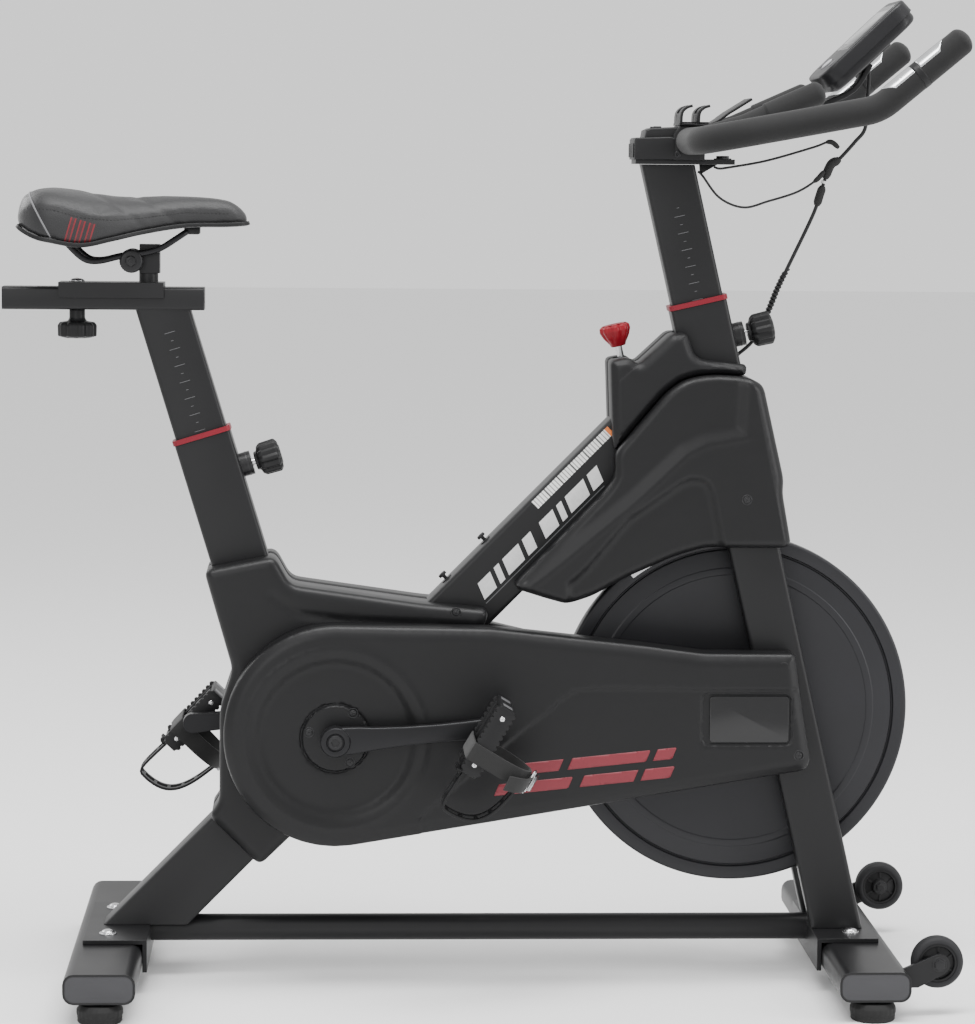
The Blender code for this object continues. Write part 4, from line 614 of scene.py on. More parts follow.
def hex_bolt(bm, place, radius=0.006, height=0.004, washer=0.009):
    """Adds a hexagon head on a washer, facing local +Z."""
    turned(bm, rounded([(washer * 0.4, 0.0014), (washer - 0.0004, 0.0014), (washer, 0.001), (washer, 0)],
                       0.0003),
           place, 32)
    outline = [(radius * cos(a), radius * sin(a)) for a in (pi / 3 * k for k in range(6))]
    plate(bm, outline, 0.0012, height, place, 0.0005)


def socket_bolt(bm, place, radius=0.0055, height=0.004):
    """Adds a socket-head bolt facing local +Z, its hexagon socket sunk in the head."""
    hexagon, sides = radius * 0.5, 36
    ring = turned(bm, rounded([(radius, 0), (radius, height - 0.0006), (radius - 0.0006, height),
                               (hexagon + 0.0006, height)], 0.0003), place, sides)[-1]
    inner = []
    for k in range(sides):
        a = 2 * pi * k / sides
        reach = hexagon * min(1 / cos((a % (pi / 3)) - pi / 6), 1.155)
        inner.append(bm.verts.new(place @ Vector((reach * cos(a), reach * sin(a), height - 0.0002))))
    deep = [bm.verts.new(v.co - (place.to_3x3() @ Vector((0, 0, height * 0.5)))) for v in inner]
    bridge(bm, (ring, inner, deep), caps=False)
    bm.faces.new(deep)


def dome_bolt(bm, place, radius=0.0085, height=0.0045):
    """Adds a dome-head bolt on a washer, facing local +Z."""
    turned(bm, rounded([(0, 0.0015), (radius * 1.3, 0.0015), (radius * 1.3, 0)], 0.0004), place, 36)
    dome = [(radius * sin(a), 0.0015 + height * cos(a)) for a in (pi / 2 * k / 8 for k in range(9))]
    turned(bm, dome, place, 36)


def piece(name, bm, material, body, *nodes, slot=None, smooth=40):
    """A finished piece: its mesh, the body it rides on, the nodes it stands in for, and its slot, which is not
    used.
    """
    bmesh.ops.recalc_face_normals(bm, faces=bm.faces)
    obj = to_object(name, bm, material, smooth)
    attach(obj, body)
    if nodes:
        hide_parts(*nodes)
    return obj


def skinned(obj, thickness, name="skin"):
    """Thickens an open surface inwards."""
    skin = obj.modifiers.new(name, "SOLIDIFY")
    skin.thickness, skin.offset = thickness, -1


# ---- model pieces shown as they are
def show_node(name, material):
    """A model piece with its own finish; its corners stay crisp."""
    obj = frame["nodes"][name]
    mesh = obj.data
    if "custom_normal" in mesh.attributes:
        mesh.attributes.remove(mesh.attributes["custom_normal"])
    mesh.shade_smooth()
    mesh.materials.clear()
    mesh.materials.append(material)
    weld = obj.modifiers.new("weld", "WELD")
    weld.merge_threshold = 0.00001
    split = obj.modifiers.new("edges", "EDGE_SPLIT")
    split.split_angle = radians(38)


for shown in ("main_beam", "base_rail", "seat_tube", "head_tube", "fork_leg_right", "fork_leg_left",
              "rear_stabilizer", "front_stabilizer", "seat_post", "bar_post", "saddle_carriage"):
    show_node(shown, POWDER_COAT)
for shown in ("seat_collar", "head_collar"):
    show_node(shown, COLLAR_RED)
for shown in ("crank_bearing", "crank_spindle", "flywheel_axle", "tension_rod", "magnet_bracket"):
    show_node(shown, BRIGHT_STEEL)
for shown in ("crank_pulley", "flywheel_pulley"):
    show_node(shown, PULLEY_METAL)
show_node("drive_belt", BLACK_RUBBER)


# ---- moulded covers
GUARD_FACE, GUARD_BACK, SHROUD_FACE, HEAD_FACE, FRAME_FACE = 0.096, 0.058, 0.066, 0.050, 0.056
TUBE_HALF, BEAM_HALF = 0.033, 0.035       # half depths of the upright tubes and of the beam
FLYWHEEL_SLOT = 0.0225


def loops_of(node, face):
    """The outlines, outer one first, of a cover's flat face, as (x, z) points."""
    mesh = frame["nodes"][node].data
    side = 1 if sum(v.co.y for v in mesh.vertices) > 0 else -1
    spots, edges = {}, {}
    for polygon in mesh.polygons:
        corners = [mesh.vertices[k].co for k in polygon.vertices]
        if all(abs(c.y * side - face) < 2e-5 for c in corners):
            keys = [(round(c.x, 5), round(c.z, 5)) for c in corners]
            for a, b in zip(keys, [*keys[1:], keys[0]]):
                edges[frozenset((a, b))] = edges.get(frozenset((a, b)), 0) + 1
    for edge, count in edges.items():
        if count == 1 and len(edge) == 2:
            a, b = sorted(edge)
            spots.setdefault(a, []).append(b)
            spots.setdefault(b, []).append(a)
    loops = []
    while spots:
        start = min(spots)
        loop, here = [start], start
        while True:
            ways = spots[here]
            there = ways.pop()
            spots[there].remove(here)
            if not ways:
                del spots[here]
            if there == start:
                spots.pop(start, None)
                break
            loop.append(there)
            here = there
        loops.append(loop)
    return sorted(loops, key=lambda loop: -abs(area_of(loop)))


def area_of(loop):
    """Area inside an outline, below zero when it runs clockwise."""
    return sum(a[0] * b[1] - b[0] * a[1] for a, b in zip(loop, [*loop[1:], loop[0]])) / 2


def eased(loop, radius, step):
    """An outline with its corners rounded, its points spaced evenly, running anticlockwise."""
    points = [Vector(p) for p in (loop if area_of(loop) > 0 else loop[::-1])]
    path = []
    for k, corner in enumerate(points):
        before, after = points[k - 1], points[(k + 1) % len(points)]
        u, v = before - corner, after - corner
        reach = min(radius, u.length * 0.48, v.length * 0.48)
        a, b = corner + u.normalized() * reach, corner + v.normalized() * reach
        for n in range(5):
            t = n / 4
            path.append(a * (1 - t) ** 2 + corner * 2 * t * (1 - t) + b * t * t)
    return [Vector(p) for p in even([*path, path[0]], step)[:-1]]


def reach_to(points, line, closed=False):
    """Distances from points to a line."""
    line = np.array([tuple(p) for p in line])
    starts = line if closed else line[:-1]
    ends = np.roll(line, -1, 0) if closed else line[1:]
    best = np.full(len(points), 9.0)
    for a, b in zip(starts, ends):
        run = b - a
        share = np.clip(((points - a) @ run) / max(run @ run, 1e-12), 0, 1)
        best = np.minimum(best, np.linalg.norm(points - a - share[:, None] * run, axis=1))
    return best


def within(points, loop):
    """Which points lie inside a closed outline."""
    loop = [tuple(p) for p in loop]
    inside = np.zeros(len(points), bool)
    x, z = points[:, 0], points[:, 1]
    for (ax, az), (bx, bz) in zip(loop, [*loop[1:], loop[0]]):
        crosses = (az > z) != (bz > z)
        if az != bz:
            inside ^= crosses & (x < (bx - ax) * (z - az) / (bz - az) + ax)
    return inside


def smooth_step(value):
    value = np.clip(value, 0, 1)
    return value * value * (3 - 2 * value)


def sunk(loop, depth, slope):
    """A region let into a face, its sides sloping in from the outline."""
    def relief(points, rim):
        reach = reach_to(points, loop, True) * np.where(within(points, loop), 1, -1)
        return -depth * smooth_step(reach / slope)
    return relief


def groove(line, depth, width, closed=False):
    """A soft channel along a line, or a ridge when its depth is below zero."""
    def relief(points, rim):
        return -depth * smooth_step(1 - reach_to(points, line, closed) / width)
    return relief


def ring_relief(centre, radius, height, width):
    """A ring standing out of a face, or a groove when its height is below zero."""
    def relief(points, rim):
        reach = np.hypot(points[:, 0] - centre[0], points[:, 1] - centre[1])
        return height * np.exp(-((reach - radius) / width) ** 2)
    return relief


def disc_relief(centre, radius, height, slope):
    """A round area raised from a face, or let into it when its height is below zero."""
    def relief(points, rim):
        reach = np.hypot(points[:, 0] - centre[0], points[:, 1] - centre[1])
        return height * smooth_step((radius - reach) / slope)
    return relief


def rim_slope(width, drop):
    """A face that falls away in a band along its rim."""
    def relief(points, rim):
        return -drop * (1 - smooth_step(rim / width)) * 0.4 - drop * 0.6 * np.clip(1 - rim / width, 0, 1)
    return relief


def fall_beyond(a, b, slope, most):
    """A face that slopes back, no further than most, on the right-hand side of the line from a to b."""
    run = np.array(b) - np.array(a)
    run = run / np.linalg.norm(run)

    def relief(points, rim):
        beyond = (points - np.array(a)) @ np.array([run[1], -run[0]])
        return -np.minimum(np.clip(beyond, 0, None) * slope, most)
    return relief


def relief_at(points, outline, parts, edge):
    """How far points of a cover's face stand from its flat, with the rim rounded over."""
    rim = reach_to(points, outline, True)
    height = sum(part(points, rim) for part in parts)
    inner = np.clip(edge - rim, 0, edge)
    return height - (edge - np.sqrt(np.maximum(edge * edge - inner * inner, 0)))


def triangulated(outline, holes, extra, step):
    """A fine triangle net inside an outline and outside its holes."""
    edge_points, constraint = [], []
    for loop in (outline, *holes):
        first = len(edge_points)
        edge_points += [Vector(p) for p in loop]
        constraint += [(first + k, first + (k + 1) % len(loop)) for k in range(len(loop))]
    rim = np.array([tuple(p) for p in outline])
    low, high = rim.min(0), rim.max(0)
    cols = np.arange(low[0], high[0], step)
    rows = np.arange(low[1], high[1], step * 0.866)
    grid = np.array([(x + (n % 2) * step / 2, z) for n, z in enumerate(rows) for x in cols])
    free = np.vstack([grid, np.array(extra)]) if extra else grid
    clear = within(free, outline) & (reach_to(free, outline, True) > 0.00045)
    for hole in holes:
        clear &= ~within(free, hole) & (reach_to(free, hole, True) > step * 0.3)
    free = free[clear]
    spots = edge_points + [Vector(p) for p in free.tolist()]
    verts, _, faces, *_ = delaunay_2d_cdt(spots, constraint, [], 2, 1e-6)
    return np.array([tuple(v) for v in verts]), faces


def inset_points(outline, insets):
    """Points on lines drawn in from an outline by each inset."""
    result = []
    rim = [Vector(p) for p in outline]
    for inset in insets:
        ring = []
        for k, here in enumerate(rim):
            run = (rim[(k + 1) % len(rim)] - rim[k - 1]).normalized()
            ring.append(here + Vector((-run.y, run.x)) * inset)
        points = np.array([tuple(p) for p in ring])
        kept = reach_to(points, rim, True) > inset * 0.93
        result += points[kept].tolist()
    return result


def beside(line, widths, closed=False):
    """Points along a line and at each width on both sides of it."""
    path = even([Vector(p) for p in ([*line, line[0]] if closed else line)], 0.0035)
    result = []
    for k, here in enumerate(path):
        run = (path[min(k + 1, len(path) - 1)] - path[max(k - 1, 0)]).normalized()
        for width in (0.0, *widths, *(-w for w in widths)):
            result.append((here.x - run.y * width, here.y + run.x * width))
    return result


class Cover:
    """One moulded cover: its outline comes from the model piece that it stands in for."""

    def __init__(self, node, face, edge, corner, parts, lines=(), step=0.0048):
        self.face, self.edge, self.parts = face, edge, parts
        outer, *holes = loops_of(node, face)
        self.outline = eased(outer, corner, 0.0034)
        holes = [eased(hole, 0.0001, 0.0034) for hole in holes]
        insets = [edge * s for s in (0.08, 0.22, 0.42, 0.68, 1.0)] + [edge + 0.003]
        extra = inset_points(self.outline, insets)
        for line in lines:
            extra += line
        self.spots, self.faces = triangulated(self.outline, holes, extra, step)
        self.node = node

    def heights(self, points):
        return self.face + relief_at(points, self.outline, self.parts, self.edge)

    def build(self, side, open_edge, material, slot):
        bm = bmesh.new()
        levels = self.heights(self.spots)
        verts = [bm.verts.new((x, side * y, z)) for (x, z), y in zip(self.spots.tolist(), levels.tolist())]
        for face in self.faces:
            bm.faces.new([verts[k] for k in face])
        outline = {(round(p.x, 5), round(p.y, 5)) for p in self.outline}
        rim = [e for e in bm.edges if e.is_boundary
               and all((round(v.co.x, 5), round(v.co.z, 5)) in outline for v in e.verts)]
        for share in (0.5, 1.0):
            made = bmesh.ops.extrude_edge_only(bm, edges=rim)["geom"]
            rim = [g for g in made if isinstance(g, bmesh.types.BMEdge)
                   and all(v in made for v in g.verts)]
            for vert in (g for g in made if isinstance(g, bmesh.types.BMVert)):
                end = open_edge(vert.co.x, vert.co.z)
                now = abs(vert.co.y)
                vert.co.y = side * (now + (end - now) * share)
        bmesh.ops.recalc_face_normals(bm, faces=bm.faces)
        bm.faces.ensure_lookup_table()
        if bm.faces[0].normal.y * side < 0:
            bmesh.ops.reverse_faces(bm, faces=bm.faces)
        obj = to_object(self.node + "_shell", bm, material, 32)
        skinned(obj, 0.0022, "wall")
        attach(obj, "frame")
        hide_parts(self.node)

    def decal(self, bm, side, outline, proud=0.0003):
        """Adds a thin patch that follows the cover's face."""
        path = even([Vector(p) for p in [*outline, outline[0]]], 0.003)[:-1]
        if area_of(path) < 0:
            path = path[::-1]
        spots, faces = triangulated(path, [], [], 0.004)
        levels = self.heights(spots) + proud
        verts = [bm.verts.new((x, side * y, z)) for (x, z), y in zip(spots.tolist(), levels.tolist())]
        made = [bm.faces.new([verts[k] for k in face]) for face in faces]
        bmesh.ops.recalc_face_normals(bm, faces=made)
        if made[0].normal.y * side < 0:
            bmesh.ops.reverse_faces(bm, faces=made)


def off_line(x, z, point, up):
    """How far a side-view point lies from a tube's axis."""
    return abs((x - point[0]) * up[2] - (z - point[2]) * up[0])


SEAT_FOOT = (-0.2125, 0, 0.293)
HEAD_FOOT = (0.4242, 0, 0.0623)
ROD_FOOT = (0.4242 - 0.0996 * cos(radians(13.1)), 0, 0.0623 - 0.0996 * sin(radians(13.1)))


def cover_edge(x, z):
    """How far out a cover's open edge stops: at the middle, or clear of what passes there."""
    stop = 0.00015
    if off_line(x, z, BEAM_FOOT, BEAM_UP) < BEAM_HALF - 0.002:
        stop = 0.0255
    if off_line(x, z, SEAT_FOOT, SEAT_UP) < TUBE_HALF - 0.0015 and x < -0.15:
        stop = 0.0225
    if off_line(x, z, HEAD_FOOT, HEAD_UP) < TUBE_HALF - 0.0015:
        stop = 0.0225
    if off_line(x, z, ROD_FOOT, HEAD_UP) < 0.0085 and z > 0.70:
        stop = 0.0085
    if (x - AXLE.x) ** 2 + (z - AXLE.z) ** 2 < 0.214 ** 2:
        stop = FLYWHEEL_SLOT
    return stop


def circle(centre, radius, count=48):
    return [(centre[0] + radius * cos(a), centre[1] + radius * sin(a))
            for a in (2 * pi * k / count for k in range(count))]


def round_box(x0, z0, x1, z1, radius, steps=4):
    corners = [(x1 - radius, z1 - radius, 0), (x0 + radius, z1 - radius, 90),
               (x0 + radius, z0 + radius, 180), (x1 - radius, z0 + radius, 270)]
    return [(x + radius * cos(radians(a + 90 * k / steps)), z + radius * sin(radians(a + 90 * k / steps)))
            for x, z, a in corners for k in range(steps + 1)]


HUB = (BRACKET.x, BRACKET.z)
HATCH = round_box(0.2572, 0.2854, 0.3617, 0.3457, 0.007)
HATCH_PANEL = round_box(0.2668, 0.2890, 0.3580, 0.3424, 0.004)
CREASE = [(x, z) for x, z, _ in catmull([(-0.0645, 0.2020, 0), (-0.0060, 0.2530, 0), (0.0502, 0.3015, 0),
                                         (0.0786, 0.3223, 0), (0.1000, 0.3410, 0), (0.1275, 0.3512, 0),
                                         (0.2400, 0.3508, 0), (0.3640, 0.3503, 0)], 6)]
LOWER_PANEL = [*CREASE, (0.46, 0.3503), (0.46, 0.10), (-0.0645, 0.10)]


def make_guards():
    parts = [rim_slope(0.012, 0.0060), disc_relief(HUB, 0.097, -0.0066, 0.015),
             ring_relief(HUB, 0.1030, 0.0014, 0.0040), disc_relief(HUB, 0.0385, 0.0024, 0.0012),
             ring_relief(HUB, 0.0396, -0.0016, 0.0013), sunk(LOWER_PANEL, 0.0024, 0.0020),
             groove(CREASE, 0.0012, 0.0018), sunk(HATCH, 0.0026, 0.0022),
             groove(HATCH, 0.0014, 0.0016, True)]
    lines = [beside(CREASE, (0.0011, 0.0022)), beside(HATCH, (0.0011, 0.0022), True)]
    lines += [beside(circle(HUB, r, 120), (0.0012,), True) for r in (0.0378, 0.0400)]
    lines += [beside(circle(HUB, r, 120), (), True) for r in (0.086, 0.092, 0.098, 0.1035, 0.108)]
    made = {}
    for label, side in SIDES:
        made[label] = Cover("belt_guard_" + label, GUARD_FACE, 0.004, 0.006, parts, lines)
        made[label].build(side, lambda x, z: GUARD_BACK, COVER_PLASTIC, "cover_plastic")
        bm = bmesh.new()
        plate(bm, HATCH_PANEL, 0, 0.0022, side_place(side, GUARD_FACE - 0.0050), 0.0009)
        piece("hatch_panel_" + label, bm, GLOSS_BLACK, "frame", slot="cover_plastic")
    stripes = bmesh.new()
    for start, length, row in ((0.020, 0.085, 0), (0.118, 0.062, 0), (0.188, 0.034, 0),
                               (0.034, 0.060, 1), (0.104, 0.090, 1), (0.202, 0.022, 1)):
        z = 0.2265 + row * 0.0215 + (start - 0.0155) * 0.105
        rise = length * 0.105
        slant, tall = 0.0055, 0.0135
        bar = [(start, z), (start + length, z + rise), (start + length + slant, z + rise + tall),
               (start + slant, z + tall)]
        made["right"].decal(stripes, RIGHT, bar)
    patch = to_object("guard_stripes", stripes, RED_PRINT)
    skinned(patch, 0.0005)
    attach(patch, "frame")


def side_place(side, distance):
    """Local X ahead, local Y up, local +Z out of the bike's side, at a distance from its middle."""
    if side == RIGHT:
        return Matrix.Translation((0, -distance, 0)) @ Matrix.Rotation(pi / 2, 4, "X")
    flip = Matrix(((1, 0, 0, 0), (0, 0, 1, 0), (0, 1, 0, 0), (0, 0, 0, 1)))
    return Matrix.Translation((0, distance, 0)) @ flip


RECESS = [(0.1000, 0.4700), (0.1214, 0.4891), (0.1701, 0.5468), (0.2300, 0.5890), (0.2420, 0.5945),
          (0.2560, 0.5945), (0.2680, 0.5885), (0.2750, 0.5750), (0.2880, 0.5092), (0.3100, 0.4000),
          (0.1000, 0.4000)]
RIDGE = [(0.060, 0.462), (0.095, 0.489), (0.186, 0.5653), (0.2404, 0.6173), (0.262, 0.628), (0.3100, 0.6370)]
BEVEL = [(0.3538, 0.5105), (0.315, 0.6978)]     # where the shroud's face starts to slope back ahead


def mould(kind, *shape, material=COVER_PLASTIC):
    """A cover on each side, its open edge fitted round what passes there."""
    for label, side in SIDES:
        Cover(kind + label, *shape).build(side, cover_edge, material, "cover_plastic")


def make_shrouds():
    above = [*RIDGE, (0.315, 0.73), (0.00, 0.73), (0.00, 0.46)]
    parts = [rim_slope(0.008, 0.0030), sunk(RECESS, 0.0070, 0.012), sunk(above, 0.0055, 0.018),
             fall_beyond(*BEVEL, 0.34, 0.012), groove(RIDGE, -0.0008, 0.006)]
    lines = [beside(RECESS, (0.002, 0.005)), beside(RIDGE, (0.003, 0.006)),
             beside(BEVEL, (0.0012,))]
    mould("shroud_", SHROUD_FACE, 0.006, 0.009, parts, lines)


def make_head_covers():
    slope = [(0.1547, 0.6948), (0.2229, 0.7536), (0.2401, 0.7549), (0.2485, 0.7297), (0.2590, 0.7241),
             (0.2924, 0.7185), (0.3088, 0.7048)]
    parts = [rim_slope(0.009, 0.006), groove(slope, 0.0006, 0.0016)]
    lines = [beside(slope, (0.0008, 0.0016))]
    mould("head_cover_", HEAD_FACE, 0.003, 0.005, parts, lines, 0.004, material=HEAD_PLASTIC)


def make_frame_covers():
    shoulder = [(-0.235, 0.452), (-0.205, 0.432), (-0.150, 0.424), (-0.06, 0.420), (0.045, 0.413)]
    parts = [rim_slope(0.010, 0.0034), groove(shoulder, 0.0016, 0.008)]
    mould("frame_cover_", FRAME_FACE, 0.006, 0.010, parts, [beside(shoulder, (0.004, 0.008))])


def make_cover_screws():
    places = [(-0.0235, 0.4331, FRAME_FACE - 0.0006), (-0.2617, 0.1944, FRAME_FACE - 0.0012),
              (0.3509, 0.3760, GUARD_FACE - 0.0012), (0.3700, 0.2738, GUARD_FACE - 0.0026),
              (-0.1916, 0.3002, GUARD_FACE - 0.0044), (-0.1416, 0.3222, GUARD_FACE - 0.0044),
              (-0.1448, 0.2657, GUARD_FACE - 0.0044), (0.309, 0.5658, SHROUD_FACE)]
    for label, side in SIDES:
        bm = bmesh.new()
        for x, z, out in places:
            if side == LEFT and z > 0.375 and out > 0.09:
                x, z = 0.3509, 0.3550
            place = side_place(side, out) @ Matrix.Translation((x, z, 0))
            turned(bm, [(0.0062, -0.001), (0.0062, 0.0003), (0.0056, 0.0006), (0.0048, 0.0002),
                        (0.0046, -0.0006)],
                   place, 32)
            screw_head(bm, place, 0.0042, 0.0008)
        piece("cover_screws_" + label, bm, SMALL_STEEL, "frame", slot="powder_coat")


make_frame_covers()
make_guards()
make_shrouds()
make_head_covers()
make_cover_screws()


# ---- flywheel and drive
def make_flywheel():
    bm = bmesh.new()
    disc, rim, half = 0.1875, 0.204, 0.012
    side = [(0.0104, 0.0275), (0.028, 0.0275), (0.0305, 0.0262), (0.0330, 0.0160), (0.0365, half - 0.0012),
            (0.060, half - 0.0016), (0.1560, half - 0.0016), (0.1572, half - 0.0008), (0.1640, half - 0.0008),
            (0.1652, half - 0.0016), (disc - 0.0022, half - 0.0016), (disc - 0.0012, half - 0.0042),
            (disc, half - 0.0042), (disc + 0.0012, half - 0.0002), (rim - 0.0026, half),
            (rim - 0.0006, half - 0.0012),
            (rim, half - 0.0032)]
    place = frame_along((0, 1, 0), AXLE)
    side = rounded(side, 0.0005, 2)
    turned(bm, [(r, -h) for r, h in side] + [(r, h) for r, h in side[::-1]], place, 168)
    piece("flywheel_disc", bm, FLYWHEEL_PAINT, "flywheel", "flywheel", slot="flywheel_paint", smooth=28)
    bm = bmesh.new()
    for label, side in SIDES:
        for k in range(6):
            a = pi / 6 + k * pi / 3
            spot = AXLE + Vector((0.0225 * cos(a), 0, 0.0225 * sin(a)))
            hex_bolt(bm, frame_along((0, side, 0), spot + Vector((0, side * 0.0274, 0))), 0.0028, 0.0024,
                     0.0040)
    piece("flywheel_bolts", bm, BRIGHT_STEEL, "flywheel", slot="bright_steel")


def crank_frame(side):
    """Local X along the crank from the bracket, local +Z out of the side, origin on its inner face."""
    turn = CRANK_TURN + (0 if side == RIGHT else pi)
    along = Vector((cos(turn), 0, sin(turn)))
    out = Vector((0, side, 0))
    basis = Matrix((along, out.cross(along), out)).transposed().to_4x4()
    return Matrix.Translation(BRACKET + out * CRANK_INSIDE) @ basis


def make_crank(label, side):
    """A tapered crank arm with its boss and pedal eye, a cap over its bolt, and the pedal's axle."""
    place = crank_frame(side)
    bm = bmesh.new()
    outline = []
    for k in range(15):
        a = radians(-78 + 156 * k / 14)
        outline.append((CRANK_LENGTH + 0.0125 * cos(a), 0.0125 * sin(a)))
    waist = [(0.150, 0.0112), (0.120, 0.0104), (0.080, 0.0110), (0.045, 0.0130), (0.028, 0.0150)]
    outline += waist
    for k in range(17):
        a = radians(70 + 220 * k / 16)
        outline.append((0.0172 * cos(a), 0.0172 * sin(a)))
    outline += [(x, -y) for x, y in waist[::-1]]
    plate(bm, outline, 0.0006, 0.0138, place, 0.0032, 4, 0.0006)
    turned(bm, rounded([(0.0088, -0.0038), (0.0168, -0.0038), (0.0172, 0.0010), (0.0172, 0.0146),
                        (0.0158, 0.0168),
                        (0.0105, 0.0168), (0.0098, 0.0152), (0.0, 0.0152)], 0.0006), place, 56)
    end = place @ Matrix.Translation((CRANK_LENGTH, 0, 0))
    turned(bm, rounded([(0.0, 0.0146), (0.0062, 0.0146), (0.0072, 0.0160), (0.0086, 0.0160), (0.0094, 0.0140),
                        (0.0096, 0.0110)], 0.0004), end, 40)
    piece("crank_arm_" + label, bm, CRANK_BLACK, "crankset", "crank_" + label, slot="crank_black", smooth=35)
    bm = bmesh.new()
    socket_bolt(bm, place @ Matrix.Translation((0, 0, 0.0150)), 0.0082, 0.0026)
    piece("crank_cap_" + label, bm, SMALL_STEEL, "crankset", slot="crank_black")
    bm = bmesh.new()
    outer = PEDAL_OUT + 0.032 - CRANK_INSIDE
    turned(bm, rounded([(0.0, outer), (0.0046, outer), (0.0050, outer - 0.0005), (0.0050, 0.024),
                        (0.0078, 0.023),
                        (0.0078, 0.0158), (0.0050, 0.0158)], 0.0003), end, 32)
    piece("crank_bolts_" + label, bm, BRIGHT_STEEL, "crankset", slot="bright_steel")


def pedal_frame(side):
    """Local Y along the pedal's axle, local X and Z in the plane of its cage's section."""
    turn = CRANK_TURN + (0 if side == RIGHT else pi)
    hang = radians(239.3 if side == RIGHT else 226.7)
    x, z = BRACKET.x + CRANK_LENGTH * cos(turn), BRACKET.z + CRANK_LENGTH * sin(turn)
    return Matrix.Translation((x, side * PEDAL_OUT, z)) @ Matrix.Rotation(-hang, 4, "Y")


def make_pedal(label, side):
    """Cage pedal: two toothed side bars, cross ribs, an axle barrel and reflector ends."""
    place = pedal_frame(side)
    bm = bmesh.new()
    teeth = []
    for k in range(12):
        x = -0.0405 + k * 0.081 / 12
        teeth += [(x, 0.0098), (x + 0.0018, 0.0120), (x + 0.0042, 0.0120), (x + 0.0060, 0.0098)]
    outline = [(-0.043, 0.006), *teeth, (0.043, 0.006), (0.043, -0.006),
               *[(x, -z) for x, z in teeth[::-1]], (-0.043, -0.006)]
    for y in (-0.0372, 0.0372):
        turn = place @ Matrix.Translation((0, y, 0)) @ Matrix.Rotation(pi / 2, 4, "X")
        plate(bm, outline, -0.0026, 0.0026, turn, 0.0007)
    for x in (-0.0405, 0.0405):
        box(bm, (x - 0.0030, -0.0392, -0.0088), (x + 0.0030, 0.0392, 0.0088), place, 0.0014)
    for x in (-0.0235, 0.0235):
        box(bm, (x - 0.0016, -0.0365, -0.0078), (x + 0.0016, 0.0365, 0.0100), place, 0.0005)
    for x in (-0.032, -0.0145, 0.0145, 0.032):
        box(bm, (x - 0.0042, -0.0060, -0.0092), (x + 0.0042, 0.0060, 0.0088), place, 0.0010)
    box(bm, (-0.0385, -0.0180, -0.0100), (0.0385, -0.0152, 0.0106), place, 0.0006)
    box(bm, (-0.0385, 0.0152, -0.0100), (0.0385, 0.0180, 0.0106), place, 0.0006)
    barrel = place @ Matrix.Rotation(-pi / 2, 4, "X")
    turned(bm, rounded([(0.0056, -0.0385), (0.0098, -0.0385), (0.0104, -0.0350), (0.0084, -0.0300),
                        (0.0084, 0.0300),
                        (0.0104, 0.0350), (0.0098, 0.0385), (0.0056, 0.0385)], 0.0008), barrel, 32)
    piece("pedal_body_" + label, bm, BLACK_PLASTIC, "pedal_" + label, "pedal_" + label, slot="plastic_black",
          smooth=30)
    bm = bmesh.new()
    for x, ahead in ((-0.0405, -1), (0.0405, 1)):
        for y in (-0.024, 0.024):
            box(bm, (min(x, x + ahead * 0.0034), y - 0.0085, -0.0060),
                (max(x, x + ahead * 0.0034), y + 0.0085, 0.0060),
                place, 0.0008)
    piece("pedal_reflectors_" + label, bm, GREY_PRINT, "pedal_" + label)
    bm = bmesh.new()
    for y in (-0.0400, 0.0400):
        for x in (-0.030, 0.030):
            out = 1 if y > 0 else -1
            turn = frame_along(place.to_3x3() @ Vector((0, out, 0)), place @ Vector((x, y - out * 0.0004, 0)))
            screw_head(bm, turn, 0.0030, 0.0008)
    piece("pedal_screws_" + label, bm, BRIGHT_STEEL, "pedal_" + label, slot="bright_steel")


CLIP_PATH = [(0.0462, -0.012), (0.0462, -0.003), (0.052, -0.0035), (0.088, -0.004), (0.094, 0.006),
             (0.091, 0.028), (0.080, 0.043), (0.058, 0.053), (0.020, 0.060)]
STRAP_AHEAD = 0.0175


def flat_tube(bm, path, thick, wide, across=(0, 0, 1), sides=20, caps=True):
    """Adds a strip of even thickness along a path, its edges a little rounded."""
    count = len(path)
    side = (path[1] - path[0]).normalized().cross(Vector(across)).normalized()
    rings = []
    for k, point in enumerate(path):
        ahead = (path[min(k + 1, count - 1)] - path[max(k - 1, 0)]).normalized()
        side = (side - ahead * side.dot(ahead)).normalized()
        other = ahead.cross(side)
        half = wide(k / (count - 1)) if callable(wide) else wide
        ring = []
        for n in range(sides):
            a = 2 * pi * (n + 0.5) / sides
            c, s = cos(a), sin(a)
            ring.append(bm.verts.new(point + side * half * abs(c) ** 0.25 * (1 if c > 0 else -1)
                                     + other * thick / 2 * abs(s) ** 0.25 * (1 if s > 0 else -1)))
        rings.append(ring)
    bridge(bm, rings, caps)


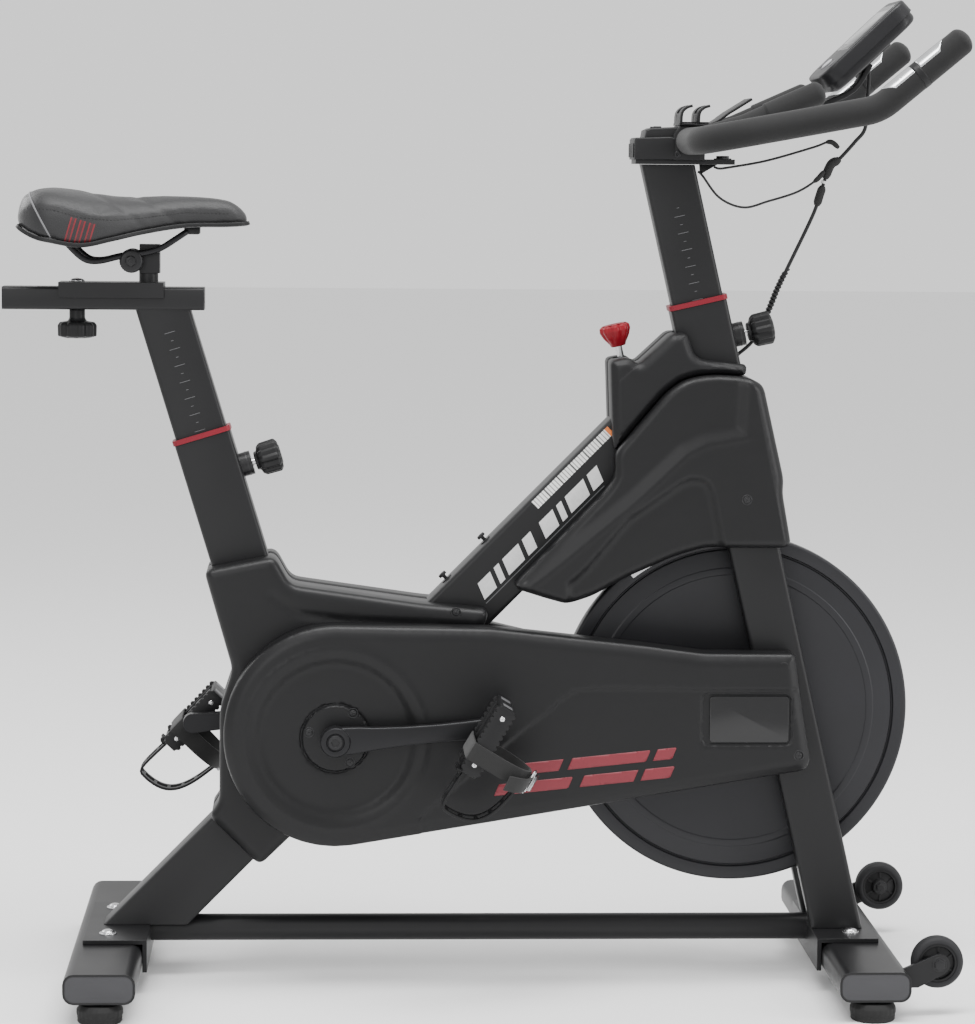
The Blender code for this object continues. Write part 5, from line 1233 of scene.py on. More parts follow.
def make_toe_clip(label, side):
    """Two-rail cage clip with cross bars, a strap round pedal and cage, and its buckle."""
    place = pedal_frame(side)
    body = "pedal_" + label
    bm = bmesh.new()
    line = even(catmull([(x, 0, z) for x, z in CLIP_PATH], 5), 0.003)
    for y in (-0.0128, 0.0128):
        flat_tube(bm, [place @ (p + Vector((0, y * (1.0 - 0.25 * k / len(line)), 0)))
                       for k, p in enumerate(line)], 0.003, 0.0042)
    for k in (1, 8, 15, 21, 27, 33, 39, 45, len(line) - 3):
        if k < len(line) - 1:
            turn = place @ frame_along((line[k + 1] - line[k - 1]).normalized(), line[k])
            box(bm, (-0.0013, -0.0128, -0.0022), (0.0013, 0.0128, 0.0022), turn, 0.0006)
    for y in (-0.011, 0.011):
        hex_bolt(bm, place @ frame_along((1, 0, 0), (0.0478, y, -0.0070)), 0.0030, 0.0022, 0.0040)
    piece("clip_cage_" + label, bm, BLACK_PLASTIC, body, "toe_clip_" + label, slot="plastic_black")
    bm = bmesh.new()
    reach = 0.0415
    loop = [(reach, 0.010), (reach + 0.001, 0.028), (reach - 0.004, 0.044), (reach - 0.014, 0.054),
            (0.012, 0.0618),
            (0, 0.0625), (-0.012, 0.0618), (-reach + 0.014, 0.054), (-reach + 0.004, 0.044),
            (-reach - 0.001, 0.028),
            (-reach, 0.010), (-reach, -0.0075), (-reach + 0.006, -0.0118), (0, -0.0122),
            (reach - 0.006, -0.0118),
            (reach, -0.0075)]
    path = catmull([(STRAP_AHEAD, y, z) for y, z in loop], 6, True)
    path = even([*path, path[0]], 0.003)
    flat_tube(bm, [place @ p for p in path], 0.0021, 0.0105, place.to_3x3() @ Vector((0, 1, 0)), caps=False)
    tail = catmull([(STRAP_AHEAD + 0.001, side * 0.010, 0.0655), (STRAP_AHEAD + 0.003, side * 0.026, 0.0640),
                    (STRAP_AHEAD + 0.006, side * 0.041, 0.0560),
                    (STRAP_AHEAD + 0.010, side * 0.050, 0.0400)], 6)
    flat_tube(bm, [place @ p for p in even(tail, 0.003)], 0.0019, 0.0095, place.to_3x3() @ Vector((0, 0, 1)))
    piece("clip_strap_" + label, bm, STRAP_WEBBING, body, slot="black_rubber")
    bm = bmesh.new()
    turn = place @ Matrix.Translation((STRAP_AHEAD, side * 0.016, 0.0655)) @ Matrix.Rotation(side * -0.2, 4,
                                                                                             "X")
    ring = [Vector((x, y, 0)) for x, y in round_box(-0.0135, -0.0095, 0.0135, 0.0095, 0.003)]
    tube(bm, [turn @ p for p in [*ring, ring[0]]], 0.0012, 10)
    box(bm, (-0.0125, -0.0012, -0.0012), (0.0125, 0.0012, 0.0022), turn, 0.0006)
    flap = [Vector(p) for p in ((0, -0.008, 0.0024), (0, 0.002, 0.0052), (0, 0.0125, 0.0048),
                                (0, 0.0165, 0.0030))]
    flat_tube(bm, [turn @ p for p in catmull(flap, 4)], 0.0010, 0.0095, turn.to_3x3() @ Vector((0, 0, 1)))
    piece("clip_buckle_" + label, bm, BRIGHT_STEEL, body, slot="bright_steel")


make_flywheel()
for name, way in SIDES:
    make_crank(name, way)
    make_pedal(name, way)
    make_toe_clip(name, way)


# ---- pull pins and knobs
def make_pull_pin(name):
    """Fluted knob on a steel pin, with a ring round its boss."""
    base, out = joint(name + "_knob_turn")
    place = frame_along(out, base)
    bm = bmesh.new()
    profile = rounded([(0.0, 0.0300), (0.0150, 0.0300), (0.0195, 0.0268), (0.0190, 0.0090), (0.0160, 0.0052),
                       (0.0112, 0.0036), (0.0104, 0.0), (0.0044, 0.0)], 0.0014, 4)
    turned(bm, profile, place, 96, 12, 0.0021, 0.0125)
    turned(bm, rounded([(0.0, 0.0308), (0.0105, 0.0308), (0.0112, 0.0300), (0.0112, 0.0290)], 0.0004), place,
           48)
    piece(name + "_knob_grip", bm, BLACK_PLASTIC, name + "_knob", name + "_knob", slot="plastic_black",
          smooth=30)
    bm = bmesh.new()
    tip = -0.052 + 0.0303
    turned(bm, rounded([(0.0, tip), (0.0036, tip), (0.0040, tip + 0.0006), (0.0040, 0.0148), (0.0, 0.0148)],
                       0.0003),
           place, 32)
    turned(bm, rounded([(0.0042, -0.0058), (0.0064, -0.0058), (0.0066, -0.0040), (0.0060, -0.0034),
                        (0.0042, -0.0034)],
                       0.0003), place, 32)
    piece(name + "_pin_steel", bm, BRIGHT_STEEL, name + "_pin", name + "_pin", slot="bright_steel")
    bm = bmesh.new()
    turned(bm, rounded([(0.0046, -0.0062), (0.0090, -0.0062), (0.0102, -0.0072), (0.0142, -0.0078),
                        (0.0142, -0.0100)],
                       0.0005), place, 48)
    turned(bm, rounded([(0.0141, -0.0178), (0.0160, -0.0188), (0.0164, -0.0205)], 0.0006), place, 48)
    piece(name + "_boss_ring", bm, SMALL_STEEL, "frame", slot="powder_coat")


def make_tension_knob():
    base, up = joint("tension_turn")
    place = frame_along(up, base)
    bm = bmesh.new()
    profile = rounded([(0.0, 0.0246), (0.0090, 0.0250), (0.0135, 0.0262), (0.0176, 0.0235), (0.0181, 0.0185),
                       (0.0150, 0.0110), (0.0098, 0.0035), (0.0084, 0.0), (0.0044, 0.0)], 0.0012, 4)
    turned(bm, profile, place, 96, 8, 0.0024, 0.0138)
    piece("tension_knob_grip", bm, KNOB_RED, "tension_knob", "tension_knob", slot="knob_red", smooth=32)


def make_slider_knob():
    """Fluted hand knob under the slider, on a bolt whose head shows above."""
    place = Matrix.Translation((-0.459448, 0, 0.744))
    bm = bmesh.new()
    neck, head = 0.0327, 0.0648 + 0.0003
    turned(bm, rounded([(0.0, 0.0), (0.0150, 0.0), (0.0222, 0.0020), (0.0225, 0.0145), (0.0200, 0.0180),
                        (0.0110, 0.0195), (0.0090, 0.0230), (0.0090, neck), (0.0042, neck)], 0.0012, 4),
           place, 96, 10, 0.0024, 0.0155)
    piece("slider_knob_grip", bm, BLACK_PLASTIC, "slider_knob", "slider_knob", slot="plastic_black",
          smooth=30)
    bm = bmesh.new()
    turned(bm, rounded([(0.0, neck - 0.004), (0.0039, neck - 0.004), (0.0039, head), (0.0, head)], 0.0003),
           place, 32)
    turned(bm, rounded([(0.0039, head), (0.0092, head), (0.0092, head + 0.0012), (0.0060, head + 0.0030),
                        (0.0, head + 0.0042)], 0.0005), place, 40)
    piece("slider_bolt", bm, BRIGHT_STEEL, "slider_knob", slot="bright_steel")


# ---- floor parts
def make_feet():
    for end, x in (("front", 0.439), ("rear", -0.421)):
        for label, side in SIDES:
            name = f"foot_{end}_{label}"
            place = Matrix.Translation((x, side * FOOT_OUT, 0))
            bm = bmesh.new()
            turned(bm, rounded([(0.0, 0.0004), (0.0160, 0.0004), (0.0172, 0.0), (0.0236, 0.0),
                                (0.0250, 0.0016),
                                (0.0244, 0.0034), (0.0252, 0.0052), (0.0246, 0.0070), (0.0258, 0.0092),
                                (0.0258, 0.0146), (0.0220, 0.0200), (0.0056, 0.0204)], 0.0006), place, 96,
                   24, 0.0007, 0.0249)
            piece(name + "_pad", bm, BLACK_RUBBER, name, name, slot="black_rubber", smooth=30)
            bm = bmesh.new()
            thread = [(0.0049 - 0.0004 * (k % 2), 0.0204 + k * 0.0006) for k in range(23)]
            turned(bm, [*thread, (0.0, 0.0346)], place, 28)
            plate(bm, circle((0, 0), 0.0092, 6), 0.0200, 0.0226, place, 0.0005)
            piece(name + "_stud", bm, BRIGHT_STEEL, name, slot="bright_steel")


def make_transport_wheels():
    for label, side in SIDES:
        name = "transport_wheel_" + label
        middle = Vector((WHEEL_AT.x, side * WHEEL_AT.y, WHEEL_AT.z))
        place = frame_along((0, side, 0), middle)
        bm = bmesh.new()
        tyre = [(0.0215, -0.0095), (0.0235, -0.0100), (0.0262, -0.0092), (0.0290, -0.0060), (0.0295, -0.0022),
                (0.0289, 0.0), (0.0295, 0.0022), (0.0290, 0.0060), (0.0262, 0.0092), (0.0235, 0.0100),
                (0.0215, 0.0095), (0.0212, 0.0)]
        turned(bm, [*rounded(tyre, 0.0008), tyre[0]], place, 72)
        piece(name + "_tyre", bm, WHEEL_RUBBER, name, name, slot="black_rubber", smooth=30)
        bm = bmesh.new()
        hub = [(0.0044, -0.0108), (0.0095, -0.0108), (0.0100, -0.0070), (0.0180, -0.0052), (0.0186, -0.0088),
               (0.0217, -0.0088), (0.0217, 0.0088), (0.0186, 0.0088), (0.0180, 0.0052), (0.0100, 0.0070),
               (0.0095, 0.0108), (0.0044, 0.0108)]
        turned(bm, rounded(hub, 0.0008), place, 72)
        for k in range(6):
            spoke = place @ Matrix.Rotation(k * pi / 3, 4, "Z")
            box(bm, (0.0090, -0.0012, -0.0072), (0.0190, 0.0012, 0.0072), spoke, 0.0005)
        piece(name + "_hub", bm, BLACK_PLASTIC, name, slot="plastic_black", smooth=30)
        bm = bmesh.new()
        for way, reach, tall in ((side, 0.0160, 0.0046), (-side, -0.0112, 0.0036)):
            head = middle + Vector((0, side * reach, 0))
            hex_bolt(bm, frame_along((0, way, 0), head), 0.0062, tall, 0.0085)
        piece("wheel_bolt_" + label, bm, SMALL_STEEL, "frame", slot="powder_coat")


def make_base_details():
    """End caps of the stabilisers, plate bolts, the beam's two screws, and its scale, bars and line."""
    caps = bmesh.new()
    for x in (0.439, -0.421):
        for side in (RIGHT, LEFT):
            place = side_place(side, 0.2478) @ Matrix.Translation((x, 0.040, 0))
            plate(caps, round_box(-0.0385, -0.0155, 0.0385, 0.0155, 0.0105, 6), -0.004, 0.0020, place, 0.0009)
            plate(caps, round_box(-0.0330, -0.0100, 0.0330, 0.0100, 0.0075, 6), 0.0010, 0.0022, place, 0.0006)
    piece("stabilizer_caps", caps, CAP_GREY, "frame", slot="plastic_black")
    bolts = bmesh.new()
    for x in (-0.4219, 0.4367):
        for y in (-0.070, 0.070):
            dome_bolt(bolts, Matrix.Translation((x, y, 0.0623)), 0.0078, 0.0040)
    piece("plate_bolts", bolts, BRIGHT_STEEL, "frame", slot="bright_steel")
    bolts = bmesh.new()
    for x, z in ((-0.0392, 0.4727), (0.0059, 0.5173)):
        out = Vector((-BEAM_UP.z, 0, BEAM_UP.x))
        near = (Vector((x, 0, z)) - BEAM_FOOT).dot(BEAM_UP)
        foot = BEAM_FOOT + BEAM_UP * near + out * 0.0350
        place = frame_along(out, foot)
        turned(bolts, rounded([(0.0022, 0), (0.0022, 0.0062)], 0.0001), place, 20)
        socket_bolt(bolts, place @ Matrix.Translation((0, 0, 0.0060)), 0.0050, 0.0034)
        turned(bolts, rounded([(0.0024, 0.0012), (0.0068, 0.0012), (0.0068, 0.0)], 0.0002), place, 28)
    piece("bottle_screws", bolts, SMALL_STEEL, "frame", slot="powder_coat")
    strip, bars, under = bmesh.new(), bmesh.new(), bmesh.new()
    up = Vector((BEAM_UP.x, BEAM_UP.z))
    off = Vector((-up.y, up.x))
    foot = Vector((BEAM_FOOT.x, BEAM_FOOT.z))
    for side in (RIGHT, LEFT):
        turn = side_place(side, 0.0250)

        def patch(bm, along, length, across, width, slant=0.0):
            corners = [(along, across), (along + length, across), (along + length + slant, across + width),
                       (along + slant, across + width)]
            plate(bm, [tuple(foot + up * a + off * b) for a, b in corners], -0.0004, 0.0004, turn)

        patch(strip, 0.3470, 0.1240, 0.0205, 0.0110)
        start = 0.2290
        for length, gap in ((0.020, 0.006), (0.008, 0.006), (0.026, 0.006), (0.014, 0.014), (0.022, 0.006),
                            (0.008, 0.006), (0.030, 0.006), (0.016, 0.0)):
            patch(bars, start, length, -0.0105, 0.0190, 0.0075)
            start += length + gap
        patch(under, 0.2270, 0.1930, -0.0152, 0.0009)
    piece("beam_scale", strip, RULED_SCALE, "frame")
    piece("beam_bars", bars, WHITE_PRINT, "frame")
    piece("beam_line", under, GREY_PRINT, "frame")


def make_post_marks():
    """Height marks along the side of each post."""
    pitch, thick = 0.0098, 0.0006
    for name, body, foot, up, low, high in (
            ("bar_post_marks", "handlebar", HEAD_FOOT, HEAD_UP, 0.787, 0.905),
            ("seat_post_marks", "seat_post", SEAT_FOOT, SEAT_UP, 0.633, 0.762)):
        bm = bmesh.new()
        for side in (RIGHT, LEFT):
            turn = side_place(side, 0.0180)
            run = Vector((up.x, up.z))
            across = Vector((run.y, -run.x))
            base = Vector((foot[0], foot[2]))
            for k in range(int((high - low) / up.z / pitch)):
                here = base + run * ((low - foot[2]) / up.z + 0.006 + k * pitch)
                half = 0.0062 if k % 2 == 0 else 0.0015
                a, b = here - across * half, here + across * half
                bar = [tuple(a), tuple(b), tuple(b + run * thick), tuple(a + run * thick)]
                plate(bm, bar, -0.0003, 0.00025, turn)
        piece(name, bm, GREY_PRINT, body)


for pin in ("seat", "bar"):
    make_pull_pin(pin)
make_tension_knob()
make_slider_knob()
make_feet()
make_transport_wheels()
make_base_details()
make_post_marks()


# ---- saddle
def near_tilt(ahead, y, up):
    """A point by its distances from the middle of the tilt pin."""
    return Vector((TILT.x + ahead, y, TILT.z + up))


# the saddle's sections: distance ahead of the tilt pin, half width, and heights of its top and lower edge
SADDLE_STATIONS = ((-0.1295, 0.044, 0.061, 0.043), (-0.122, 0.061, 0.0765, 0.035),
                   (-0.106, 0.077, 0.0835, 0.027),
                   (-0.088, 0.0835, 0.0840, 0.023), (-0.053, 0.0825, 0.0775, 0.018),
                   (-0.018, 0.070, 0.0720, 0.025),
                   (0.017, 0.050, 0.0725, 0.033), (0.062, 0.032, 0.0752, 0.040),
                   (0.107, 0.0245, 0.0725, 0.041),
                   (0.126, 0.019, 0.0630, 0.042), (0.1355, 0.009, 0.0510, 0.043))


def cushion_shape(inset):
    """The saddle's padding as a closed loft; inset draws it in all round."""
    bm = bmesh.new()
    stations = even_stations()
    rings = []
    for ahead, half, top, low in stations:
        half, top = max(half - inset, 0.004), top - inset
        crown = 0.0018 * max(0.0, 1 - abs(ahead + 0.02) / 0.11)
        side = [(0.0, top - crown), (0.28, top), (0.55, top - 0.0012), (0.78, top - 0.0048),
                (0.92, top - 0.0125),
                (1.0, top * 0.60 + low * 0.40), (1.0, top * 0.30 + low * 0.70), (0.965, low + 0.0025),
                (0.90, low)]
        side = [(p.x, p.z) for p in catmull([(a * half, 0, z) for a, z in side], 3)]
        loop = side + [(-y, z) for y, z in side[:0:-1]]
        rings.append([bm.verts.new(near_tilt(ahead * (1 - inset * 6), y, z)) for y, z in loop])
    for a, b in zip(rings, rings[1:]):
        for k in range(len(a)):
            bm.faces.new((a[k], a[k - 1], b[k - 1], b[k]))
    bm.faces.new(rings[0])
    bm.faces.new(rings[-1][::-1])
    bmesh.ops.recalc_face_normals(bm, faces=bm.faces)
    return bm


def even_stations():
    """The saddle's stations filled in smoothly."""
    first = catmull([(a, h, 0) for a, h, t, b in SADDLE_STATIONS], 5)
    second = catmull([(a, t, b) for a, h, t, b in SADDLE_STATIONS], 5)
    return [(p.x, p.y, q.y, q.z) for p, q in zip(first, second)]


def make_cushion():
    """Padding blown up by a cloth run inside its cover's shape, then drawn in at the seams."""
    most, steps = 0.0045, 20        # how far the run may move a point, and the frames that it takes
    full = cushion_shape(0.0)
    limit = BVHTree.FromBMesh(full)
    full.free()
    obj = to_object("saddle_padding", cushion_shape(0.0022), SADDLE_COVER, 180)
    grid = obj.modifiers.new("grid", "REMESH")
    grid.mode, grid.voxel_size = "VOXEL", 0.0046
    relax = obj.modifiers.new("relax", "SMOOTH")
    relax.factor, relax.iterations = 0.5, 4
    apply_all(obj)
    rest = [v.co.copy() for v in obj.data.vertices]
    held = obj.vertex_groups.new(name="held")
    for k, co in enumerate(rest):
        low = station_low(co.x - TILT.x)
        if co.z - TILT.z < low + 0.006:
            held.add([k], 1.0, "REPLACE")
    cloth = obj.modifiers.new("cloth", "CLOTH")
    cloth.settings.quality = 6
    cloth.settings.mass = 0.3
    cloth.settings.tension_stiffness = cloth.settings.compression_stiffness = 22
    cloth.settings.bending_stiffness = 1.5
    cloth.settings.use_pressure = True
    cloth.settings.uniform_pressure_force = 4
    cloth.settings.effector_weights.gravity = 0
    cloth.settings.vertex_group_mass = "held"
    cloth.collision_settings.use_self_collision = False
    cloth.point_cache.frame_start, cloth.point_cache.frame_end = 1, steps
    for step in range(1, steps + 1):
        bpy.context.scene.frame_set(step)
    apply_all(obj)
    bpy.context.scene.frame_set(1)
    for vert, start in zip(obj.data.vertices, rest):
        spot, normal, _, _ = limit.find_nearest(start)
        moved = vert.co - start
        if moved.length > most:
            moved *= most / moved.length
        vert.co = start + moved
        outside = (vert.co - spot).dot(normal) - 0.0012
        if outside > 0:
            vert.co -= normal * outside
    press_seams(obj)
    smooth = obj.modifiers.new("fine", "SUBSURF")
    smooth.levels = smooth.render_levels = 1
    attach(obj, "saddle")
    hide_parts("saddle_cushion")
    return obj


def station_low(ahead):
    """Height of the padding's lower edge, at a distance ahead of the tilt pin."""
    spots = [(s[0], s[3]) for s in SADDLE_STATIONS]
    return float(np.interp(ahead, [a for a, _ in spots], [b for _, b in spots]))


def apply_all(obj):
    """Bakes an object's modifiers into its mesh."""
    bpy.context.view_layer.update()
    mesh = bpy.data.meshes.new_from_object(obj.evaluated_get(bpy.context.evaluated_depsgraph_get()))
    obj.modifiers.clear()
    obj.data = mesh
    mesh.shade_smooth()


def press_seams(obj):
    """Draws the cover in along the rear panel's seam, two slanting creases and a seam on each side."""
    obj.data.update()
    normals = [v.normal.copy() for v in obj.data.vertices]
    for vert, normal in zip(obj.data.vertices, normals):
        local = vert.co - TILT
        reach = abs((local.x + PANEL_LEAN * local.z - PANEL_AT) / 1.141)
        depth = 0.0011 * max(0.0, 1 - reach / 0.0050)
        for foot, lean in ((-0.052, 0.42), (-0.002, 0.40)):
            if local.z > 0.040 and abs(local.y) > 0.004:
                off = local.x - foot - (0.075 - local.z) * 1.3 - abs(local.y) * lean
                depth = max(depth, 0.0014 * max(0.0, 1 - abs(off) / 0.0080))
        for height in seam_heights(local.x):
            depth = max(depth, 0.0009 * max(0.0, 1 - abs(local.z - height) / 0.0045))
        vert.co -= normal * depth


def seam_heights(ahead):
    """Height of the seam that runs along each side, at a distance ahead of the tilt pin."""
    if not -0.105 < ahead < 0.118:
        return ()
    return (float(np.interp(ahead, (-0.105, -0.085, -0.053, -0.018, 0.017, 0.062, 0.118),
                            (0.060, 0.0585, 0.0500, 0.0470, 0.0500, 0.0560, 0.0545))),)


def surface_line(obj, starts, directions):
    """Points where rays meet a piece from outside."""
    graph = bpy.context.evaluated_depsgraph_get()
    bpy.context.view_layer.update()
    tree = BVHTree.FromObject(obj, graph)
    result = []
    for start, way in zip(starts, directions):
        spot, normal, _, _ = tree.ray_cast(start, way)
        if spot is not None:
            result.append((spot, normal))
    return result


def make_saddle_trim(cushion):
    """Piping round the rear panel, stitches along each side, and the rim round the lower edge."""
    bm = bmesh.new()
    starts, ways = [], []
    for k in range(61):
        a = radians(-118 + 236 * k / 60)
        across, up = sin(a), cos(a)
        way = Vector((-up * PANEL_LEAN, across, up)).normalized()
        starts.append(near_tilt(PANEL_AT, 0, 0) + Vector((-PANEL_LEAN * 0.040, 0, 0.040)) + way * 0.2)
        ways.append(-way)
    line = [spot + normal * 0.0002 for spot, normal in surface_line(cushion, starts, ways)]
    tube(bm, even(line, 0.003), 0.0011, 8)
    piece("saddle_piping", bm, PIPING, "saddle")
    for label, side in SIDES:
        bm = bmesh.new()
        aheads = [-0.100 + 0.214 * k / 80 for k in range(81)]
        starts = [near_tilt(a, side * 0.2, seam_heights(a)[0]) for a in aheads]
        hits = surface_line(cushion, starts, [Vector((0, -side, 0))] * len(starts))
        line = even([spot + normal * 0.0001 for spot, normal in hits], 0.0011)
        for k in range(0, len(line) - 3, 4):
            tube(bm, [line[k], line[k + 1], line[k + 2]], 0.00038, 6)
        piece("saddle_stitches_" + label, bm, THREAD, "saddle")
    bm = bmesh.new()
    outline = [near_tilt(a, h * 0.955, b + 0.0008) for a, h, t, b in even_stations()[3:-2]]
    loop = outline + [Vector((p.x, -p.y, p.z)) for p in outline[::-1]]
    ring = even([*loop, loop[0]], 0.004)
    flat_tube(bm, ring, 0.0050, 0.0022, (0, 1, 0), 12)
    piece("saddle_rim", bm, BLACK_PLASTIC, "saddle", slot="plastic_black")


def make_shell():
    """The moulded base under the padding, ribbed, with sockets for the rails' ends and nose."""
    bm = bmesh.new()
    stations = [s for s in even_stations() if -0.118 < s[0] < 0.122]
    side = [(TILT.x + a, h - 0.0145) for a, h, t, b in stations if h > 0.0165]
    outline = side + [(x, -y) for x, y in side[::-1]]
    base = TILT.z + 0.0395
    plate(bm, outline[::-1], base, base + 0.0040, Matrix(), 0.0006)
    for y in (-0.030, -0.010, 0.010, 0.030):
        reach = 0.065 if abs(y) < 0.02 else 0.035
        box(bm, (TILT.x - 0.100, y - 0.0012, base - 0.0045),
            (TILT.x - 0.055 + reach * 0.3, y + 0.0012, base), Matrix(),
            0.0005)
    for y in (-0.038, 0.038):
        box(bm, (TILT.x - 0.094, y - 0.0085, base - 0.0098), (TILT.x - 0.074, y + 0.0085, base + 0.001),
            Matrix(), 0.002)
    box(bm, (TILT.x + 0.060, -0.013, base - 0.0090), (TILT.x + 0.078, 0.013, base + 0.001), Matrix(), 0.002)
    piece("saddle_base", bm, BLACK_PLASTIC, "saddle", "saddle_shell", slot="plastic_black")


# the right rail's wire from its rear end to the nose: ahead, up and out from the tilt pin
RAIL_LINE = [(-0.083, 0.034, 0.038), (-0.068, 0.016, 0.037), (-0.052, 0.002, 0.034), (-0.036, 0.000, 0.029),
             (-0.016, 0.0045, 0.0215), (0.000, 0.0074, 0.0205), (0.018, 0.010, 0.0205),
             (0.034, 0.015, 0.0195),
             (0.050, 0.025, 0.017), (0.062, 0.033, 0.012), (0.067, 0.0357, 0.0)]


def make_rails():
    right = [(a, -y, up) for a, up, y in RAIL_LINE]
    line = right + [(a, -y, up) for a, y, up in right[-2::-1]]
    bm = bmesh.new()
    tube(bm, even(catmull([near_tilt(*p) for p in line], 6), 0.004), 0.0035, 18)
    piece("saddle_rail_wire", bm, CRANK_BLACK, "saddle", "saddle_rails", slot="powder_coat")


def make_clamp():
    """Serrated clamp discs on the tilt pin, with a nut on each end."""
    bm = bmesh.new()
    bolts = bmesh.new()
    for side in (RIGHT, LEFT):
        place = frame_along((0, side, 0), TILT)
        turned(bm, rounded([(0.0034, 0.0122), (0.0132, 0.0122), (0.0138, 0.0132), (0.0138, 0.0196),
                            (0.0132, 0.0240),
                            (0.0112, 0.0252), (0.0080, 0.0256), (0.0060, 0.0256)], 0.0007), place, 120, 30,
                            0.0007,
               0.0126)
        turned(bm, rounded([(0.0126, 0.0120), (0.0137, 0.0120), (0.0138, 0.0136), (0.0126, 0.0136)], 0.0003),
               place, 64)
        plate(bolts, circle((0, 0), 0.0064, 6), 0.0252, 0.0278, place, 0.0006)
        turned(bolts, rounded([(0.0, 0.0279), (0.0026, 0.0279), (0.0029, 0.0275), (0.0029, 0.0250)], 0.0002),
               place, 24)
    turned(bm, [(0.0, -0.012), (0.0029, -0.012), (0.0029, 0.012), (0.0, 0.012)],
           frame_along((0, 1, 0), TILT), 24)
    piece("clamp_discs", bm, SMALL_STEEL, "saddle", "saddle_clamp", slot="powder_coat", smooth=30)
    piece("clamp_nuts", bolts, SMALL_STEEL, "saddle", slot="powder_coat")


SLIDER_ENDS, SLIDER_HEIGHT = (-0.54394, -0.31345), 0.790


def make_slider_caps():
    """Plastic caps let into both ends of the slider tube."""
    bm = bmesh.new()
    for x, way in ((SLIDER_ENDS[0] + 0.0022, -1), (SLIDER_ENDS[1] - 0.0022, 1)):
        place = frame_along((way, 0, 0), (x, 0, SLIDER_HEIGHT))
        plate(bm, round_box(-0.0118, -0.0165, 0.0118, 0.0165, 0.0028), -0.005, 0.0020, place, 0.0008)
        plate(bm, round_box(-0.0072, -0.0118, 0.0072, 0.0118, 0.0016), 0.0012, 0.0022, place, 0.0004)
    piece("slider_caps", bm, BLACK_PLASTIC, "seat_post", slot="plastic_black")


PIPING = moulded_plastic("piping", (0.15, 0.15, 0.155), 0.35)
THREAD = webbing()
THREAD.name = "stitching_thread"
cushion = make_cushion()
make_saddle_trim(cushion)
make_shell()
make_rails()
make_clamp()
make_slider_caps()


# ---- handlebar
def from_bar(ahead, y, up):
    """A point by its distances from the middle of the bar's cross tube."""
    return BAR + Vector((ahead, y, up))


BAR_LINE = [(0.2875, -0.2, 0.1165), (0.1905, -0.2, 0.0355), (0.0, -0.2, 0.0),
            (0.0, 0.2, 0.0), (0.1905, 0.2, 0.0355), (0.2875, 0.2, 0.1165)]


def rounded_end(share, length, radius, tip):
    """Radius along a bar whose ends are domed over a length tip."""
    reach = min(share, 1 - share) * length
    if reach >= tip:
        return radius
    return radius * sqrt(max(1 - ((tip - reach) / tip) ** 2, 0.02))


def make_handlebar():
    """Foam-sleeved bar with domed ends, two horns with sleeves, and contact plates on each end."""
    line = even(filleted([from_bar(*p) for p in BAR_LINE], 0.055), 0.004)
    length = sum((b - a).length for a, b in zip(line, line[1:]))
    fine = even(line[:6], 0.0012) + line[6:-6] + even(line[-6:], 0.0012)
    spans = [0.0]
    for a, b in zip(fine, fine[1:]):
        spans.append(spans[-1] + (b - a).length)
    shares = [s / spans[-1] for s in spans]
    bm = bmesh.new()
    count = len(fine) - 1
    tube(bm, fine, lambda t: rounded_end(shares[min(round(t * count), count)], length, 0.0155, 0.011), 36)
    for side in (RIGHT, LEFT):
        y = side * 0.055
        horn = filleted([from_bar(0.002, y, 0.001), from_bar(0.060, y, 0.018), from_bar(0.1510, y, 0.0585)],
                        0.08)
        horn = even(horn, 0.0015)
        count_h = len(horn) - 1

        def thick(t, total=count_h * 0.0015):
            reach = (1 - t) * total
            step = 0.0125 if t < 0.56 else 0.0140
            return step * (sqrt(max(1 - ((0.010 - reach) / 0.010) ** 2, 0.02)) if reach < 0.010 else 1)

        tube(bm, horn, thick, 32)
    piece("bar_foam", bm, FOAM_GRIP, "handlebar", "handlebar", slot="foam_grip", smooth=50)
    for label, side in SIDES:
        bm = bmesh.new()
        a, b = from_bar(0.1905, side * 0.2, 0.0355), from_bar(0.2875, side * 0.2, 0.1165)
        run = (b - a).normalized()
        face = Vector((-run.z, 0, run.x))
        for start, end in ((0.016, 0.054), (0.0625, 0.100)):
            rows = []
            for n in range(25):
                t = n / 24
                here = a + run * (start + (end - start) * t)
                taper = min(1.0, 0.25 + 2.6 * (t if start < 0.05 else 1 - t))
                row = []
                for k in range(13):
                    angle = radians(-62 + 124 * k / 12) * taper
                    out = face * cos(angle) + Vector((0, 1, 0)) * sin(angle)
                    row.append(bm.verts.new(here + out * 0.0160))
                rows.append(row)
            for p, q in zip(rows, rows[1:]):
                for k in range(12):
                    bm.faces.new((p[k], p[k + 1], q[k + 1], q[k]))
        bmesh.ops.recalc_face_normals(bm, faces=bm.faces)
        bm.faces.ensure_lookup_table()
        if bm.faces[0].normal.dot(face) < 0:
            bmesh.ops.reverse_faces(bm, faces=bm.faces)
        plates = to_object("pulse_plates_" + label, bm, PULSE_STEEL, 40)
        skinned(plates, 0.0010)
        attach(plates, "handlebar")
        bm = bmesh.new()
        band = [a + run * d for d in (0.0545, 0.056, 0.0605, 0.062)]
        tube(bm, band, 0.01585, 36, caps=False)
        skinned(piece("pulse_band_" + label, bm, BLACK_PLASTIC, "handlebar"), 0.0008)


def both_ways(bm, outline, half, bevel, inner=0.0):
    """A plate of a side-view outline, the same on both sides of the middle."""
    for side in (RIGHT, LEFT):
        plate(bm, outline, inner, half, side_place(side, 0), bevel, 3)


